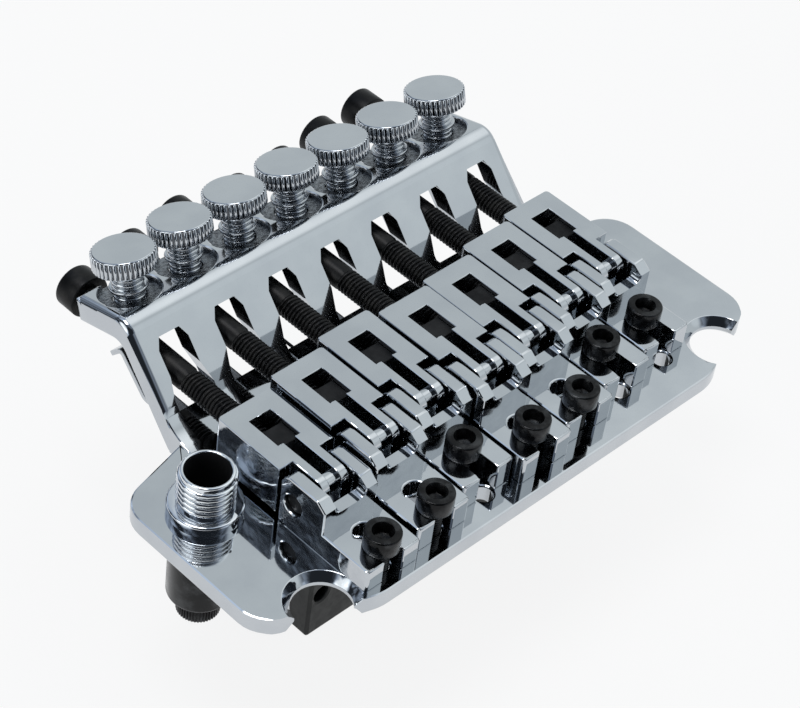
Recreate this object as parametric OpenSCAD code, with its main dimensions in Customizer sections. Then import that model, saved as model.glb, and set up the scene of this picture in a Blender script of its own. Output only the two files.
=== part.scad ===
// Locking tremolo bridge for a seven string guitar.
// Z is up and square to the base plate, and Y runs along the strings towards the tail.
// X runs across the strings, with the arm socket on its negative side.
// The origin lies midway between the two knife edge pivots, halfway up the plate.

/* [Strings] */
// Distance between neighbouring strings
string_pitch = 10.7; // [10.6:0.05:11]
// Height of the lowest saddle top above the base plate
saddle_h = 9.4; // [9.3:0.1:9.9]
// Extra height of each saddle, string 1 to string 7
saddle_rise = [0, 1.2, 1.4, 1.7, 1.3, 1.2, 1.1]; // [0:0.1:2]
// Distance from the pivots back to each saddle's rear edge
saddle_rear = [24.4, 25.3, 26.9, 25.2, 26.5, 28.5, 29.9]; // [24:0.1:30]

/* [Base plate] */
// Thickness of the base plate
plate_t = 3; // [2.6:0.1:3.6]
// Width of the base plate across the wings
plate_w = 105.2; // [104:0.2:108]
// Reach of the nose in front of the pivots
nose_reach = 8.8; // [8.6:0.1:10]
// Distance from the pivots forward to the wings' front edges
wing_front = 3.65; // [3.4:0.05:3.9]
// Distance from the pivots back to the wings' rear corners
wing_rear = 26.8; // [25.5:0.1:27.5]
// Corner radius of the wings
wing_corner_r = 5.4; // [3:0.1:5.6]
// Distance between the two pivots
stud_spacing = 85.4; // [85:0.1:86]
// Radius of the notches that rock on the studs
notch_r = 4.5; // [4.3:0.05:4.7]
// Bevel above and below each knife edge
knife_bevel = 1.2; // [0.8:0.05:1.3]

/* [Saddle screw holes] */
// Distance from the pivots to each front hole, negative in front of them
front_hole_y = [-4.5, -4.2, -4.2, -2.7, -2.7, -2.2, -1.5]; // [-4.6:0.1:-1]
// Distance from the front holes back to the rear holes
hole_row_gap = 5.05; // [4.95:0.05:5.15]
// Row that holds each saddle, 0 for the front and 1 for the rear
saddle_row = [0, 0, 1, 0, 0, 1, 1]; // [0:1:1]

/* [Tail wall] */
// Distance from the outer strings to the wall's ends
wall_side = 6.45; // [6.3:0.05:7]
// Distance from the outer strings to the shelf's ends
shelf_side = 6.3; // [6:0.05:6.7]
// Distance from the pivots back to the foot of the wall
wall_foot_y = 31.4; // [31.2:0.1:32]
// Angle between the wall and the plate
wall_angle = 48.9; // [48:0.1:50]
// Thickness of the wall
wall_t = 3; // [2.6:0.1:3.2]
// Radius of the blend between the plate and the wall
wall_foot_r = 9.9; // [7:0.1:11]
// Radius of the shelf's front edge
shelf_edge_r = 3.7; // [2:0.1:4]
// Height of the shelf above the plate, at the fine tuners
shelf_h = 12.7; // [12.6:0.1:13.2]
// Thickness of the shelf
shelf_t = 3.85; // [3.6:0.05:4]
// Distance from the fine tuners to the shelf's rear edge
shelf_back = 4.55; // [4.2:0.05:5]
// Height of the top of the windows above the plate
window_h = 11; // [10.8:0.1:11.1]
// Width of the windows at the top
window_top_w = 3.8; // [3.6:0.1:4.2]
// Width of the windows halfway down
window_mid_w = 5.6; // [5.4:0.1:6]
// Width of the bars between the windows at the foot
bar_foot_w = 3.3; // [3:0.1:3.8]

/* [Fine tuners] */
// Distance from the pivots back to the fine tuners, on the shelf
tuner_y = 50; // [49.8:0.1:50.2]
// Backward lean of the fine tuners
tuner_tilt = 14.7; // [14:0.1:15.2]
// Diameter of the knurled heads
tuner_head_d = 9.94; // [9.2:0.02:10.2]
// Thickness of the heads
tuner_head_t = 3; // [2.5:0.1:3.5]
// Height of the head tops above the shelf
tuner_head_h = 7.66; // [7.4:0.02:8.2]
// How far each fine tuner is screwed in below the highest one
tuner_depth = [0.58, 0.09, 0.13, 0, 0.26, 0.7, 0.33]; // [0:0.01:0.8]
// Diameter of the threaded shanks
tuner_shank_d = 5; // [4.6:0.1:5.2]
// Diameter of the ring round each shank
tuner_ring_d = 5.9; // [5.6:0.1:6.4]
// Thickness of the ring
tuner_ring_t = 0.6; // [0.4:0.1:0.8]
// Height of the ring above its seat
tuner_ring_h = 1.9; // [1.8:0.05:2.1]
// Radius of the round seats in the shelf
tuner_seat_r = 4.8; // [4.4:0.1:5]
// Depth of the round seats
tuner_seat_depth = 0.8; // [0.5:0.1:1]
// Length of the taper at each tip
tuner_tip_l = 1; // [0.6:0.1:1.4]
// Diameter of the flat on each tip
tuner_tip_d = 2.4; // [1.6:0.1:3]

/* [Saddle bases] */
// Gap between neighbouring saddles
saddle_gap = 0.4; // [0.3:0.05:0.6]
// Distance from the saddle's rear edge to its base
base_start = 13.7; // [13.6:0.05:13.9]
// Distance from the saddle's rear edge to the base's front end
base_end = 31.6; // [31.4:0.1:32]
// Thickness of the two ears
ear_t = 2.2; // [2:0.05:2.3]
// Distance from the saddle's rear edge to the front of the ears
ear_end = 22.5; // [22.4:0.05:22.6]
// Radius of the ears' rear corners
ear_r = 1.7; // [1:0.1:2]
// Length of the bevel at the ears' front
ear_bevel_l = 1.7; // [1.3:0.1:2]
// Height of this bevel
ear_bevel_h = 1.3; // [1:0.1:1.6]
// Thickness of the floor between the ears
base_floor_t = 1.2; // [0.9:0.05:1.25]
// Thickness of the wall that joins the ears
cross_wall_t = 1.9; // [1.6:0.1:2.2]
// Depth of the cross wall below the saddle top
cross_wall_drop = 2.7; // [2.2:0.1:3]
// Radius where the cross wall's top runs into the ears
trough_r = 1.3; // [0.8:0.1:1.6]
// Height of the foot above the plate, on the lowest saddle
foot_h = 4; // [3.6:0.1:4.4]
// Width of the slot in the foot
foot_slot_w = 3.7; // [3.5:0.05:3.8]
// Distance from the saddle's rear edge to the slot's closed end
foot_slot_end = 24.05; // [23.8:0.05:24.1]
// Radius of the foot's front corners
foot_corner_r = 0.6; // [0.4:0.05:0.8]

/* [String holders] */
// Length of the wide block
holder_l = 13; // [12.8:0.05:13.1]
// Depth of the wide block
holder_depth = 8.4; // [8:0.1:8.5]
// Radius of its rear corners
holder_corner_r = 0.6; // [0.3:0.1:1]
// Distance from the rear edge to the pivot pin
pin_back = 16.3; // [16.2:0.05:16.4]
// Depth of the pivot pin and the lock screw below the saddle top
pin_drop = 4.5; // [4.4:0.05:4.6]
// Diameter of the pivot pin
pin_d = 3.5; // [3:0.1:3.6]
// Depth of the pin's ends inside the ears
pin_recess = 0.5; // [0.2:0.1:0.8]
// Width of the tongue between the ears
tongue_w = 5.1; // [4.8:0.05:5.3]
// Radius of the tongue round the pin
knuckle_r = 3; // [2.7:0.05:3.05]
// Radius that the string bends over
tongue_edge_r = 1.8; // [1.2:0.1:2]
// Width of the window for the lock block
pocket_w = 4.1; // [4:0.05:4.4]
// Length of the window
pocket_l = 6.1; // [6:0.05:6.3]
// Distance from the rear edge to the window
pocket_start = 3.3; // [3:0.1:3.3]
// Depth of the window
pocket_depth = 7; // [6.8:0.1:7.2]
// Width of the string slot
string_slot_w = 2.1; // [1.8:0.1:2.4]
// Depth of the string slot at the window
string_slot_depth = 5; // [4.6:0.1:5]

/* [Lock blocks and screws] */
// Length of the lock block, front to rear
lock_block_l = 3.8; // [3.5:0.1:3.9]
// Height of the lock block
lock_block_h = 6.2; // [5.8:0.1:6.4]
// Diameter of the lock screws
lock_screw_d = 4; // [3.6:0.1:4]
// Length of the lock screws under the head
lock_screw_l = 40; // [38.5:0.5:42]
// Diameter of their heads
lock_head_d = 7; // [6.5:0.1:7]
// Height of their heads
lock_head_t = 4; // [3.6:0.1:4.4]
// Width across the flats of their hex sockets
lock_hex = 3; // [2.5:0.5:3]
// Width of the grooves above the lock screws
groove_w = 4.6; // [4.5:0.1:5]
// Height of the top of the grooves above the plate
groove_h = 10.4; // [10.3:0.1:10.5]

/* [Saddle mount screws] */
// Thread diameter of the saddle mount screws
mount_screw_d = 3; // [2.8:0.1:3.2]
// Length of the screws under the head
mount_screw_l = 8; // [7.5:0.5:9]
// Diameter of their heads
mount_head_d = 5.5; // [5:0.1:5.8]
// Height of their heads
mount_head_t = 3; // [2.6:0.1:3.4]
// Width across the flats of their hex sockets
mount_hex = 2.5; // [2:0.5:2.5]

/* [Arm socket] */
// Gap between the first saddle and the arm socket
socket_gap = 1; // [0.8:0.1:1.3]
// Distance from the pivots back to the arm socket
socket_y = 18.6; // [17:0.1:20]
// Outer diameter of the threaded tube
socket_d = 8.8; // [8.6:0.1:9.2]
// Bore for the arm
socket_bore_d = 6.8; // [6.4:0.1:7]
// Height of the tube above the plate
socket_h = 8; // [7:0.1:9]
// Reach of the tube below the plate
socket_below = 6; // [5:0.5:8]
// Diameter of the flange
socket_flange_d = 11.3; // [11:0.1:11.6]
// Thickness of the flange
socket_flange_t = 1.8; // [1.4:0.1:2.2]
// Diameter of the sleeve below the plate
sleeve_d = 9.9; // [9.7:0.1:10.4]
// Length of the sleeve
sleeve_l = 14; // [13:0.5:16]
// Diameter of the tension screw's knurled end
tension_d = 6.7; // [6:0.1:7.2]
// Length of the knurled end
tension_l = 4; // [3:0.5:5]
// Diameter of the tension screw's thread
tension_thread_d = 4; // [3.5:0.5:4.5]

/* [Sustain block] */
// Width of the sustain block
block_w = 56; // [56:0.5:60]
// Length of the sustain block, front to rear
block_l = 14; // [13:0.5:15]
// Depth of the sustain block below the plate
block_h = 30; // [26:0.5:34]
// Distance from the pivots back to the block's front face
block_front = 11; // [10.5:0.1:11.5]
// Diameter of the spring holes
spring_hole_d = 2.8; // [2.4:0.1:3.4]
// Depth of the spring holes
spring_hole_depth = 8; // [6:0.5:10]
// Distance between neighbouring spring holes
spring_hole_pitch = 12.8; // [12:0.1:13]
// Height of the spring holes above the block's lower end
spring_hole_h = 8.3; // [7:0.1:10]
// Distance between the screws that hold the block
block_screw_pitch = 21.4; // [20:0.1:23]
// Diameter of these screws
block_screw_d = 4; // [3.5:0.1:4.5]
// Diameter of their countersunk heads
block_screw_head_d = 7.2; // [6.8:0.1:7.4]
// Length of these screws
block_screw_l = 14; // [12:0.5:18]

/* [Leaf spring] */
// Thickness of the spring sheet
leaf_t = 0.8; // [0.6:0.05:0.9]
// Width of each spring finger
leaf_finger_w = 4; // [3.4:0.1:4.2]
// Distance from the pivots back to the spring's front edge
leaf_front = 25.9; // [25.7:0.1:26.4]
// Distance from the pivots back to the ends of the wide strip
leaf_strip_end = 32.9; // [32.5:0.1:34]
// Distance from the pivots back to the fingers' high points
leaf_peak_y = 49.2; // [48.8:0.1:49.6]
// Length of the downturned fingertips, front to rear
leaf_tip_l = 2.4; // [1.8:0.1:2.8]
// Distance between the screws that hold the spring
leaf_screw_pitch = 26; // [24:0.5:28]
// Diameter of these screws
leaf_screw_d = 2.5; // [2:0.1:2.6]
// Diameter of their heads
leaf_head_d = 4.5; // [4:0.1:4.8]
// Height of their heads
leaf_head_t = 1.3; // [1:0.1:1.6]

/* [Hidden] */
$fn = 64;
string_count = len(saddle_rise);
strings = [1 : string_count];

// Clearances
slide_gap = 0.02;
thread_gap = 0.05;
pin_gap = 0.05;
press_gap = 0.01;
tuner_tip_gap = 0.2;
leaf_gap = 0.1;
cut = 1;

// Small edges that all pieces share
edge_r = 0.3;
screw_edge = 0.35;
corner_steps = 8;

// Corners of the plate's nose, and its steps beside the notches
nose_corner_in = 5.5;
nose_corner_r = 9;
notch_mouth = [2.2, 1.5];
notch_step = 1.3;

// Corners under the wall and inside the shelf
heel_r = 1;
under_shelf_r = 3;

// Heights of the corners of a window, and the way that it runs past the wall's back
window_foot_h = 0.2;
window_bend_h = 3.8;
window_mid_h = 6.4;
window_shoulder = 1.4;
window_past = 1.5;

// The plate's blind holes and the screws in them
leaf_hole_share = 0.75;
leaf_screw_share = 0.7;
leaf_hex = 1.5;
seat_hex_depth = 1.2;
socket_share = 0.6;

// Bends of the spring's fingers
leaf_bend_r = 1.2;
leaf_under_r = 2;
leaf_tip_r = 0.4;

// Gap between an ear's top and the saddle's top
ear_drop = 0.05;

// The string slot's floor in front of the block, and its lip over the pin
slot_bend_in = 1;
slot_lip_in = 0.6;
slot_lip_depth = 0.7;
slot_lip_r = 1;

// Levels and widths that the sizes above give
plate_top = plate_t / 2;
saddle_w = string_pitch - saddle_gap;
string_span = (string_count - 1) * string_pitch;
wall_w = string_span + 2 * wall_side;
shelf_w = string_span + 2 * shelf_side;
socket_x = (string_span + saddle_w + socket_flange_d) / 2 + socket_gap;
shelf_z = plate_top + shelf_h;
wall_run = 1 / tan(wall_angle);
wall_back = wall_t / sin(wall_angle);
tongue_room = saddle_w - 2 * ear_t;
lock_tip = pocket_start + pocket_l - lock_block_l - slide_gap;
leaf_screw_y = (leaf_front + leaf_strip_end) / 2;
block_screw_y = block_front + block_l / 2;

chrome = [0.74, 0.78, 0.83];
black_steel = [0.13, 0.13, 0.14];
dark_steel = [0.25, 0.26, 0.28];
dark_block = [0.18, 0.19, 0.2];

function string_x(i) = (i - (string_count + 1) / 2) * string_pitch;
function saddle_top(i) = saddle_h + saddle_rise[i - 1];
function saddle_z(i) = plate_top + saddle_top(i);
function lock_screw_z(i) = saddle_z(i) - pin_drop;
function saddle_screw_y(i) = front_hole_y[i - 1] + saddle_row[i - 1] * hole_row_gap;
function foot_top(i) = foot_h + saddle_rise[i - 1] / 2;

// Points of an outline whose corners are given as [x, y, corner radius]
function unit(v) = v / norm(v);
function flat(v) = [v[0], v[1]];
function corner_points(before, corner, after) =
    let (
        r = corner[2],
        a = unit(flat(before) - flat(corner)),
        b = unit(flat(after) - flat(corner)),
        half = acos(a * b) / 2,
        centre = flat(corner) + unit(a + b) * r / sin(half),
        start = flat(corner) + a * r / tan(half) - centre,
        stop = flat(corner) + b * r / tan(half) - centre,
        from = atan2(start[1], start[0]),
        turn = atan2(stop[1], stop[0]) - from,
        sweep = turn - 360 * round(turn / 360)
    )
    [for (k = [0 : corner_steps])
        centre + r * [cos(from + sweep * k / corner_steps), sin(from + sweep * k / corner_steps)]];
function rounded(corners) =
    let (n = len(corners))
    [for (k = [0 : n - 1])
        for (p = corners[k][2] == 0
            ? [flat(corners[k])]
            : corner_points(corners[(k + n - 1) % n], corners[k], corners[(k + 1) % n]))
            p];
function both_sides(right) =
    concat(right, [for (k = [len(right) - 1 : -1 : 0]) [-right[k][0], right[k][1], right[k][2]]]);

// An outline drawn in Y and Z, made solid along X and centred on it
module side_profile(width) {
    rotate([90, 0, 90])
        linear_extrude(width, center = true)
            children();
}

// An outline drawn in X and Z, made solid from one Y to another
module front_profile(from_y, to_y) {
    translate([0, to_y, 0])
        rotate([90, 0, 0])
            linear_extrude(to_y - from_y)
                children();
}

// A cylinder that starts at the origin and runs towards the tail
module rod(r, h) {
    rotate([-90, 0, 0])
        cylinder(r = r, h = h);
}

module at_string(i) {
    translate([string_x(i), 0, 0])
        children();
}

// The middle of a saddle's rear top edge
module at_saddle(i) {
    translate([string_x(i), saddle_rear[i - 1], saddle_z(i)])
        children();
}

// The point where a fine tuner's axis meets the shelf, with Z along the axis
module at_tuner(i) {
    translate([string_x(i), tuner_y, shelf_z])
        rotate([-tuner_tilt, 0, 0])
            children();
}

module at_socket() {
    translate([-socket_x, socket_y, 0])
        children();
}

module three_in_row(pitch, y) {
    for (side = [-1, 0, 1])
        translate([side * pitch, y, 0])
            children();
}

// A screw with a cylindrical head on +Z and its shank below the origin
module socket_screw(d, l, head_d, head_t, hex) {
    socket_depth = head_t * socket_share;
    difference() {
        rotate_extrude()
            polygon([
                [0, -l],
                [d / 2 - screw_edge, -l],
                [d / 2, screw_edge - l],
                [d / 2, 0],
                [head_d / 2, 0],
                [head_d / 2, head_t - screw_edge],
                [head_d / 2 - screw_edge, head_t],
                [0, head_t]
            ]);
        translate([0, 0, head_t - socket_depth])
            cylinder(d = hex / cos(30), h = socket_depth + cut, $fn = 6);
    }
}

// Base plate with its tail wall

module plate_outline() {
    notch_x = stud_spacing / 2;
    polygon(rounded(both_sides([
        [notch_x - nose_corner_in, -nose_reach, nose_corner_r],
        [notch_x - notch_mouth[0], -notch_r - notch_mouth[1], 0],
        [notch_x + notch_step, -wing_front, 0],
        [plate_w / 2, -wing_front, wing_corner_r],
        [plate_w / 2, wing_rear, wing_corner_r],
        [wall_w / 2, wall_foot_y - cut, 0],
        [wall_w / 2, wall_foot_y + cut, 0]
    ])));
}

// Where the shelf's plane, raised by n, meets the wall's front, moved back by run
function shelf_point(s, n) = [
    tuner_y + s * cos(tuner_tilt) + n * sin(tuner_tilt),
    shelf_z - s * sin(tuner_tilt) + n * cos(tuner_tilt)
];
function shelf_meets_wall(n, run) =
    let (start = shelf_point(0, n))
    shelf_point(
        (wall_foot_y + run - start[0] + (start[1] - plate_top) * wall_run)
            / (cos(tuner_tilt) + sin(tuner_tilt) * wall_run),
        n
    );
function with_r(p, r) = [p[0], p[1], r];

module wall_outline() {
    overlap_y = wall_foot_y - wall_foot_r;
    polygon(rounded([
        [overlap_y, -plate_top, 0],
        [wall_foot_y + wall_back - plate_t * wall_run, -plate_top, heel_r],
        with_r(shelf_meets_wall(-shelf_t, wall_back), under_shelf_r),
        with_r(shelf_point(shelf_back, -shelf_t), edge_r),
        with_r(shelf_point(shelf_back, 0), edge_r),
        with_r(shelf_meets_wall(0, 0), shelf_edge_r),
        [wall_foot_y, plate_top, wall_foot_r],
        [overlap_y, plate_top, 0]
    ]));
}

module wall_front_outline() {
    polygon(both_sides_flat([
        [wall_w / 2, -plate_top],
        [wall_w / 2, plate_top],
        [shelf_w / 2, shelf_z],
        [shelf_w / 2, shelf_z + 2 * cut]
    ]));
}
function both_sides_flat(right) =
    concat(right, [for (k = [len(right) - 1 : -1 : 0]) [-right[k][0], right[k][1]]]);

module window_outline() {
    foot_w = string_pitch - bar_foot_w;
    translate([0, plate_top])
        polygon(both_sides_flat([
            [foot_w / 2, window_foot_h],
            [foot_w / 2, window_bend_h],
            [window_mid_w / 2, window_mid_h],
            [window_mid_w / 2, window_h - window_shoulder],
            [window_top_w / 2, window_h]
        ]));
}

module stud_notch() {
    translate([0, -notch_r, 0]) {
        cylinder(r = notch_r, h = plate_t + cut, center = true);
        for (side = [-1, 1])
            scale([1, 1, side])
                translate([0, 0, plate_top - knife_bevel])
                    cylinder(r1 = notch_r, r2 = notch_r + knife_bevel + cut, h = knife_bevel + cut);
    }
}

module block_screw_seat() {
    head_r = block_screw_head_d / 2 + thread_gap;
    screw_r = block_screw_d / 2 + thread_gap;
    cylinder(r = screw_r, h = plate_t + cut, center = true);
    translate([0, 0, plate_top - (head_r - screw_r)])
        cylinder(r1 = screw_r, r2 = head_r + cut, h = head_r - screw_r + cut);
}

module base_plate() {
    window_end = shelf_meets_wall(-shelf_t, wall_back)[0] + window_past;
    color(chrome)
        difference() {
            union() {
                linear_extrude(plate_t, center = true)
                    plate_outline();
                intersection() {
                    side_profile(wall_w + cut)
                        wall_outline();
                    front_profile(0, tuner_y + 2 * shelf_back)
                        wall_front_outline();
                }
            }
            for (side = [-1, 1])
                translate([side * stud_spacing / 2, 0, 0])
                    stud_notch();
            for (i = strings) {
                at_string(i) {
                    for (row = [0, 1])
                        translate([0, front_hole_y[i - 1] + row * hole_row_gap, 0])
                            cylinder(d = mount_screw_d + 2 * thread_gap, h = plate_t + cut, center = true);
                    front_profile(wall_foot_y - wall_foot_r, window_end)
                        window_outline();
                    translate([-groove_w / 2, wall_foot_y + wall_back, plate_top + groove_h / 2])
                        cube([groove_w, tuner_y - wall_foot_y + shelf_back, groove_h / 2]);
                }
                at_tuner(i) {
                    translate([0, 0, -shelf_t - 2 * cut])
                        cylinder(d = tuner_shank_d + 2 * thread_gap, h = shelf_t + 4 * cut);
                    translate([0, 0, -tuner_seat_depth])
                        cylinder(r = tuner_seat_r, h = tuner_seat_depth + 2 * cut);
                }
            }
            at_socket()
                cylinder(d = socket_d + 2 * press_gap, h = plate_t + cut, center = true);
            three_in_row(block_screw_pitch, block_screw_y)
                block_screw_seat();
            three_in_row(leaf_screw_pitch, leaf_screw_y)
                translate([0, 0, -plate_top - cut])
                    cylinder(d = leaf_screw_d + 2 * thread_gap, h = plate_t * leaf_hole_share + cut);
        }
}

module saddle_mount_screws() {
    color(black_steel)
        for (i = strings)
            translate([string_x(i), saddle_screw_y(i), plate_top + foot_top(i) + slide_gap])
                socket_screw(mount_screw_d, mount_screw_l, mount_head_d, mount_head_t, mount_hex);
}

// Sustain block under the plate

module sustain_block() {
    color(dark_block)
        difference() {
            translate([-block_w / 2, block_front, -plate_top - block_h])
                cube([block_w, block_l, block_h]);
            for (k = [-2 : 2])
                translate([k * spring_hole_pitch, block_front - cut, spring_hole_h - plate_top - block_h])
                    rod(spring_hole_d / 2, spring_hole_depth + cut);
            three_in_row(block_screw_pitch, block_screw_y)
                translate([0, 0, plate_top - block_screw_l - cut])
                    cylinder(d = block_screw_d + 2 * thread_gap, h = block_screw_l);
        }
}

module block_screws() {
    head_r = block_screw_head_d / 2;
    screw_r = block_screw_d / 2;
    color(black_steel)
        three_in_row(block_screw_pitch, block_screw_y)
            translate([0, 0, plate_top - thread_gap])
                difference() {
                    rotate_extrude()
                        polygon([
                            [0, -block_screw_l],
                            [screw_r - screw_edge, -block_screw_l],
                            [screw_r, screw_edge - block_screw_l],
                            [screw_r, screw_r - head_r],
                            [head_r, 0],
                            [0, 0]
                        ]);
                    translate([0, 0, -seat_hex_depth])
                        cylinder(d = mount_hex / cos(30), h = seat_hex_depth + cut, $fn = 6);
                }
}

// Leaf spring under the plate, with a finger below each lock screw

module finger_outline(i) {
    top_z = -plate_top;
    peak_z = lock_screw_z(i) - lock_screw_d / 2 - leaf_gap;
    bend_y = leaf_peak_y - (peak_z - top_z);
    lower = leaf_t * tan(22.5);
    slant = leaf_t * sin(45);
    polygon(rounded([
        [leaf_strip_end - cut, top_z, 0],
        [leaf_strip_end - cut, top_z - leaf_t, 0],
        [bend_y + lower, top_z - leaf_t, leaf_under_r],
        [leaf_peak_y, peak_z - leaf_t / sin(45), leaf_tip_r],
        [leaf_peak_y + leaf_tip_l - slant, peak_z - leaf_tip_l - slant, 0],
        [leaf_peak_y + leaf_tip_l, peak_z - leaf_tip_l, 0],
        [leaf_peak_y, peak_z, leaf_bend_r],
        [bend_y, top_z, leaf_bend_r]
    ]));
}

module leaf_spring() {
    strip_w = string_span + 2 * leaf_finger_w;
    color(chrome)
        difference() {
            union() {
                translate([-strip_w / 2, leaf_front, -plate_top - leaf_t])
                    cube([strip_w, leaf_strip_end - leaf_front, leaf_t]);
                for (i = strings)
                    at_string(i)
                        side_profile(leaf_finger_w)
                            finger_outline(i);
            }
            three_in_row(leaf_screw_pitch, leaf_screw_y)
                translate([0, 0, -plate_top - leaf_t - cut])
                    cylinder(d = leaf_screw_d + 2 * thread_gap, h = leaf_t + 2 * cut);
        }
}

module leaf_spring_screws() {
    color(black_steel)
        three_in_row(leaf_screw_pitch, leaf_screw_y)
            translate([0, 0, -plate_top - leaf_t])
                rotate([180, 0, 0])
                    socket_screw(leaf_screw_d, leaf_t + plate_t * leaf_screw_share, leaf_head_d, leaf_head_t, leaf_hex);
}

// Arm socket, its sleeve and its tension screw

module arm_socket() {
    color(chrome)
        at_socket()
            rotate_extrude()
                polygon([
                    [socket_bore_d / 2, -plate_top - socket_below],
                    [socket_d / 2 - screw_edge, -plate_top - socket_below],
                    [socket_d / 2, screw_edge - plate_top - socket_below],
                    [socket_d / 2, plate_top],
                    [socket_flange_d / 2, plate_top],
                    [socket_flange_d / 2, plate_top + socket_flange_t - edge_r],
                    [socket_flange_d / 2 - edge_r, plate_top + socket_flange_t],
                    [socket_d / 2, plate_top + socket_flange_t],
                    [socket_d / 2, plate_top + socket_h - screw_edge],
                    [socket_d / 2 - screw_edge, plate_top + socket_h],
                    [socket_bore_d / 2 + edge_r, plate_top + socket_h],
                    [socket_bore_d / 2, plate_top + socket_h - edge_r]
                ]);
}

module arm_socket_sleeve() {
    bore_r = socket_d / 2 + press_gap;
    thread_r = tension_thread_d / 2 + thread_gap;
    lower_end = -plate_top - sleeve_l;
    color(black_steel)
        at_socket()
            rotate_extrude()
                polygon([
                    [thread_r, lower_end],
                    [sleeve_d / 2 - screw_edge, lower_end],
                    [sleeve_d / 2, lower_end + screw_edge],
                    [sleeve_d / 2, -plate_top],
                    [bore_r, -plate_top],
                    [bore_r, -plate_top - socket_below - cut],
                    [thread_r, -plate_top - socket_below - cut]
                ]);
}

module arm_tension_screw() {
    lower_end = -plate_top - sleeve_l;
    tip = -plate_top - socket_below;
    thread_r = tension_thread_d / 2;
    knurl_r = tension_d / 2;
    color(black_steel)
        at_socket()
            rotate_extrude()
                polygon([
                    [0, lower_end - tension_l],
                    [knurl_r - screw_edge, lower_end - tension_l],
                    [knurl_r, lower_end - tension_l + screw_edge],
                    [knurl_r, lower_end - slide_gap],
                    [thread_r, lower_end - slide_gap],
                    [thread_r, tip - screw_edge],
                    [thread_r - screw_edge, tip],
                    [0, tip]
                ]);
}

// Saddles, drawn from the middle of their rear top edge with the front on negative Y

module saddle_pin_bore(r) {
    translate([0, -pin_back, -pin_drop])
        rotate([0, 90, 0])
            cylinder(r = r, h = saddle_w + cut, center = true);
}

module base_side_outline(i) {
    sole = slide_gap - saddle_top(i);
    foot_z = foot_top(i) - saddle_top(i);
    polygon(rounded([
        [-base_end, sole, 0],
        [-base_start, sole, edge_r],
        [-base_start, -ear_drop, ear_r],
        [ear_bevel_l - ear_end, -ear_drop, 0],
        [-ear_end, -ear_drop - ear_bevel_h, 0],
        [-ear_end, foot_z, 0],
        [-base_end, foot_z, edge_r]
    ]));
}

module base_top_outline() {
    polygon(rounded([
        [-saddle_w / 2, -base_end, foot_corner_r],
        [saddle_w / 2, -base_end, foot_corner_r],
        [saddle_w / 2, -base_start, 0],
        [-saddle_w / 2, -base_start, 0]
    ]));
}

module foot_slot(depth) {
    slot_r = foot_slot_w / 2;
    reach = base_end - foot_slot_end - slot_r + cut;
    translate([0, -foot_slot_end - slot_r, -depth]) {
        cylinder(r = slot_r, h = depth);
        translate([-slot_r, -reach, 0])
            cube([foot_slot_w, reach, depth]);
    }
}

module trough_outline() {
    polygon(rounded([
        [tongue_room / 2, cut, 0],
        [-tongue_room / 2, cut, 0],
        [-tongue_room / 2, -cross_wall_drop, trough_r],
        [tongue_room / 2, -cross_wall_drop, trough_r]
    ]));
}

module saddle_base(i) {
    depth = saddle_top(i);
    color(chrome)
        at_saddle(i)
            difference() {
                intersection() {
                    side_profile(saddle_w)
                        base_side_outline(i);
                    translate([0, 0, -depth])
                        linear_extrude(depth)
                            base_top_outline();
                }
                translate([-tongue_room / 2, cross_wall_t - ear_end, base_floor_t + slide_gap - depth])
                    cube([tongue_room, ear_end - cross_wall_t - base_start + cut, depth]);
                front_profile(-ear_end - cut, cross_wall_t + cut - ear_end)
                    trough_outline();
                foot_slot(depth + cut);
                saddle_pin_bore(pin_d / 2 + press_gap);
            }
}

module pivot_pin(i) {
    pin_l = saddle_w - 2 * pin_recess;
    color(dark_steel)
        at_saddle(i)
            translate([0, -pin_back, -pin_drop])
                rotate([0, 90, 0])
                    cylinder(d = pin_d, h = pin_l, center = true);
}

module holder_top_outline() {
    polygon(rounded([
        [-saddle_w / 2, -holder_l, 0],
        [saddle_w / 2, -holder_l, 0],
        [saddle_w / 2, 0, holder_corner_r],
        [-saddle_w / 2, 0, holder_corner_r]
    ]));
}

module tongue_outline() {
    tongue_end = pin_back + knuckle_r;
    polygon(rounded([
        [-tongue_end, -pin_drop, 0],
        [cut - holder_l, -pin_drop, 0],
        [cut - holder_l, 0, 0],
        [-tongue_end, 0, tongue_edge_r]
    ]));
    translate([-pin_back, -pin_drop - knuckle_r])
        square([pin_back - holder_l + cut, knuckle_r + cut]);
    translate([-pin_back, -pin_drop])
        circle(r = knuckle_r);
}

module string_slot_outline() {
    slot_start = pocket_start + pocket_l / 2;
    tongue_end = pin_back + knuckle_r;
    polygon(rounded([
        [-slot_start, cut, 0],
        [-slot_start, -string_slot_depth, 0],
        [slot_bend_in - holder_l, -string_slot_depth, 0],
        [-pin_back - slot_lip_in, -slot_lip_depth, slot_lip_r],
        [slot_lip_depth - tongue_end, -slot_lip_depth, tongue_edge_r - slot_lip_depth],
        [slot_lip_depth - tongue_end, -pin_drop, 0],
        [-tongue_end - cut, -pin_drop, 0],
        [-tongue_end - cut, cut, 0]
    ]));
}

module string_holder(i) {
    color(chrome)
        at_saddle(i)
            difference() {
                union() {
                    translate([0, 0, -holder_depth])
                        linear_extrude(holder_depth)
                            holder_top_outline();
                    side_profile(tongue_w)
                        tongue_outline();
                }
                translate([-pocket_w / 2, -pocket_start - pocket_l, -pocket_depth])
                    cube([pocket_w, pocket_l, pocket_depth + cut]);
                side_profile(string_slot_w)
                    string_slot_outline();
                translate([0, -pocket_start - cut, -pin_drop])
                    rod(lock_screw_d / 2 + thread_gap, pocket_start + 2 * cut);
                saddle_pin_bore(pin_d / 2 + pin_gap);
            }
}

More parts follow.
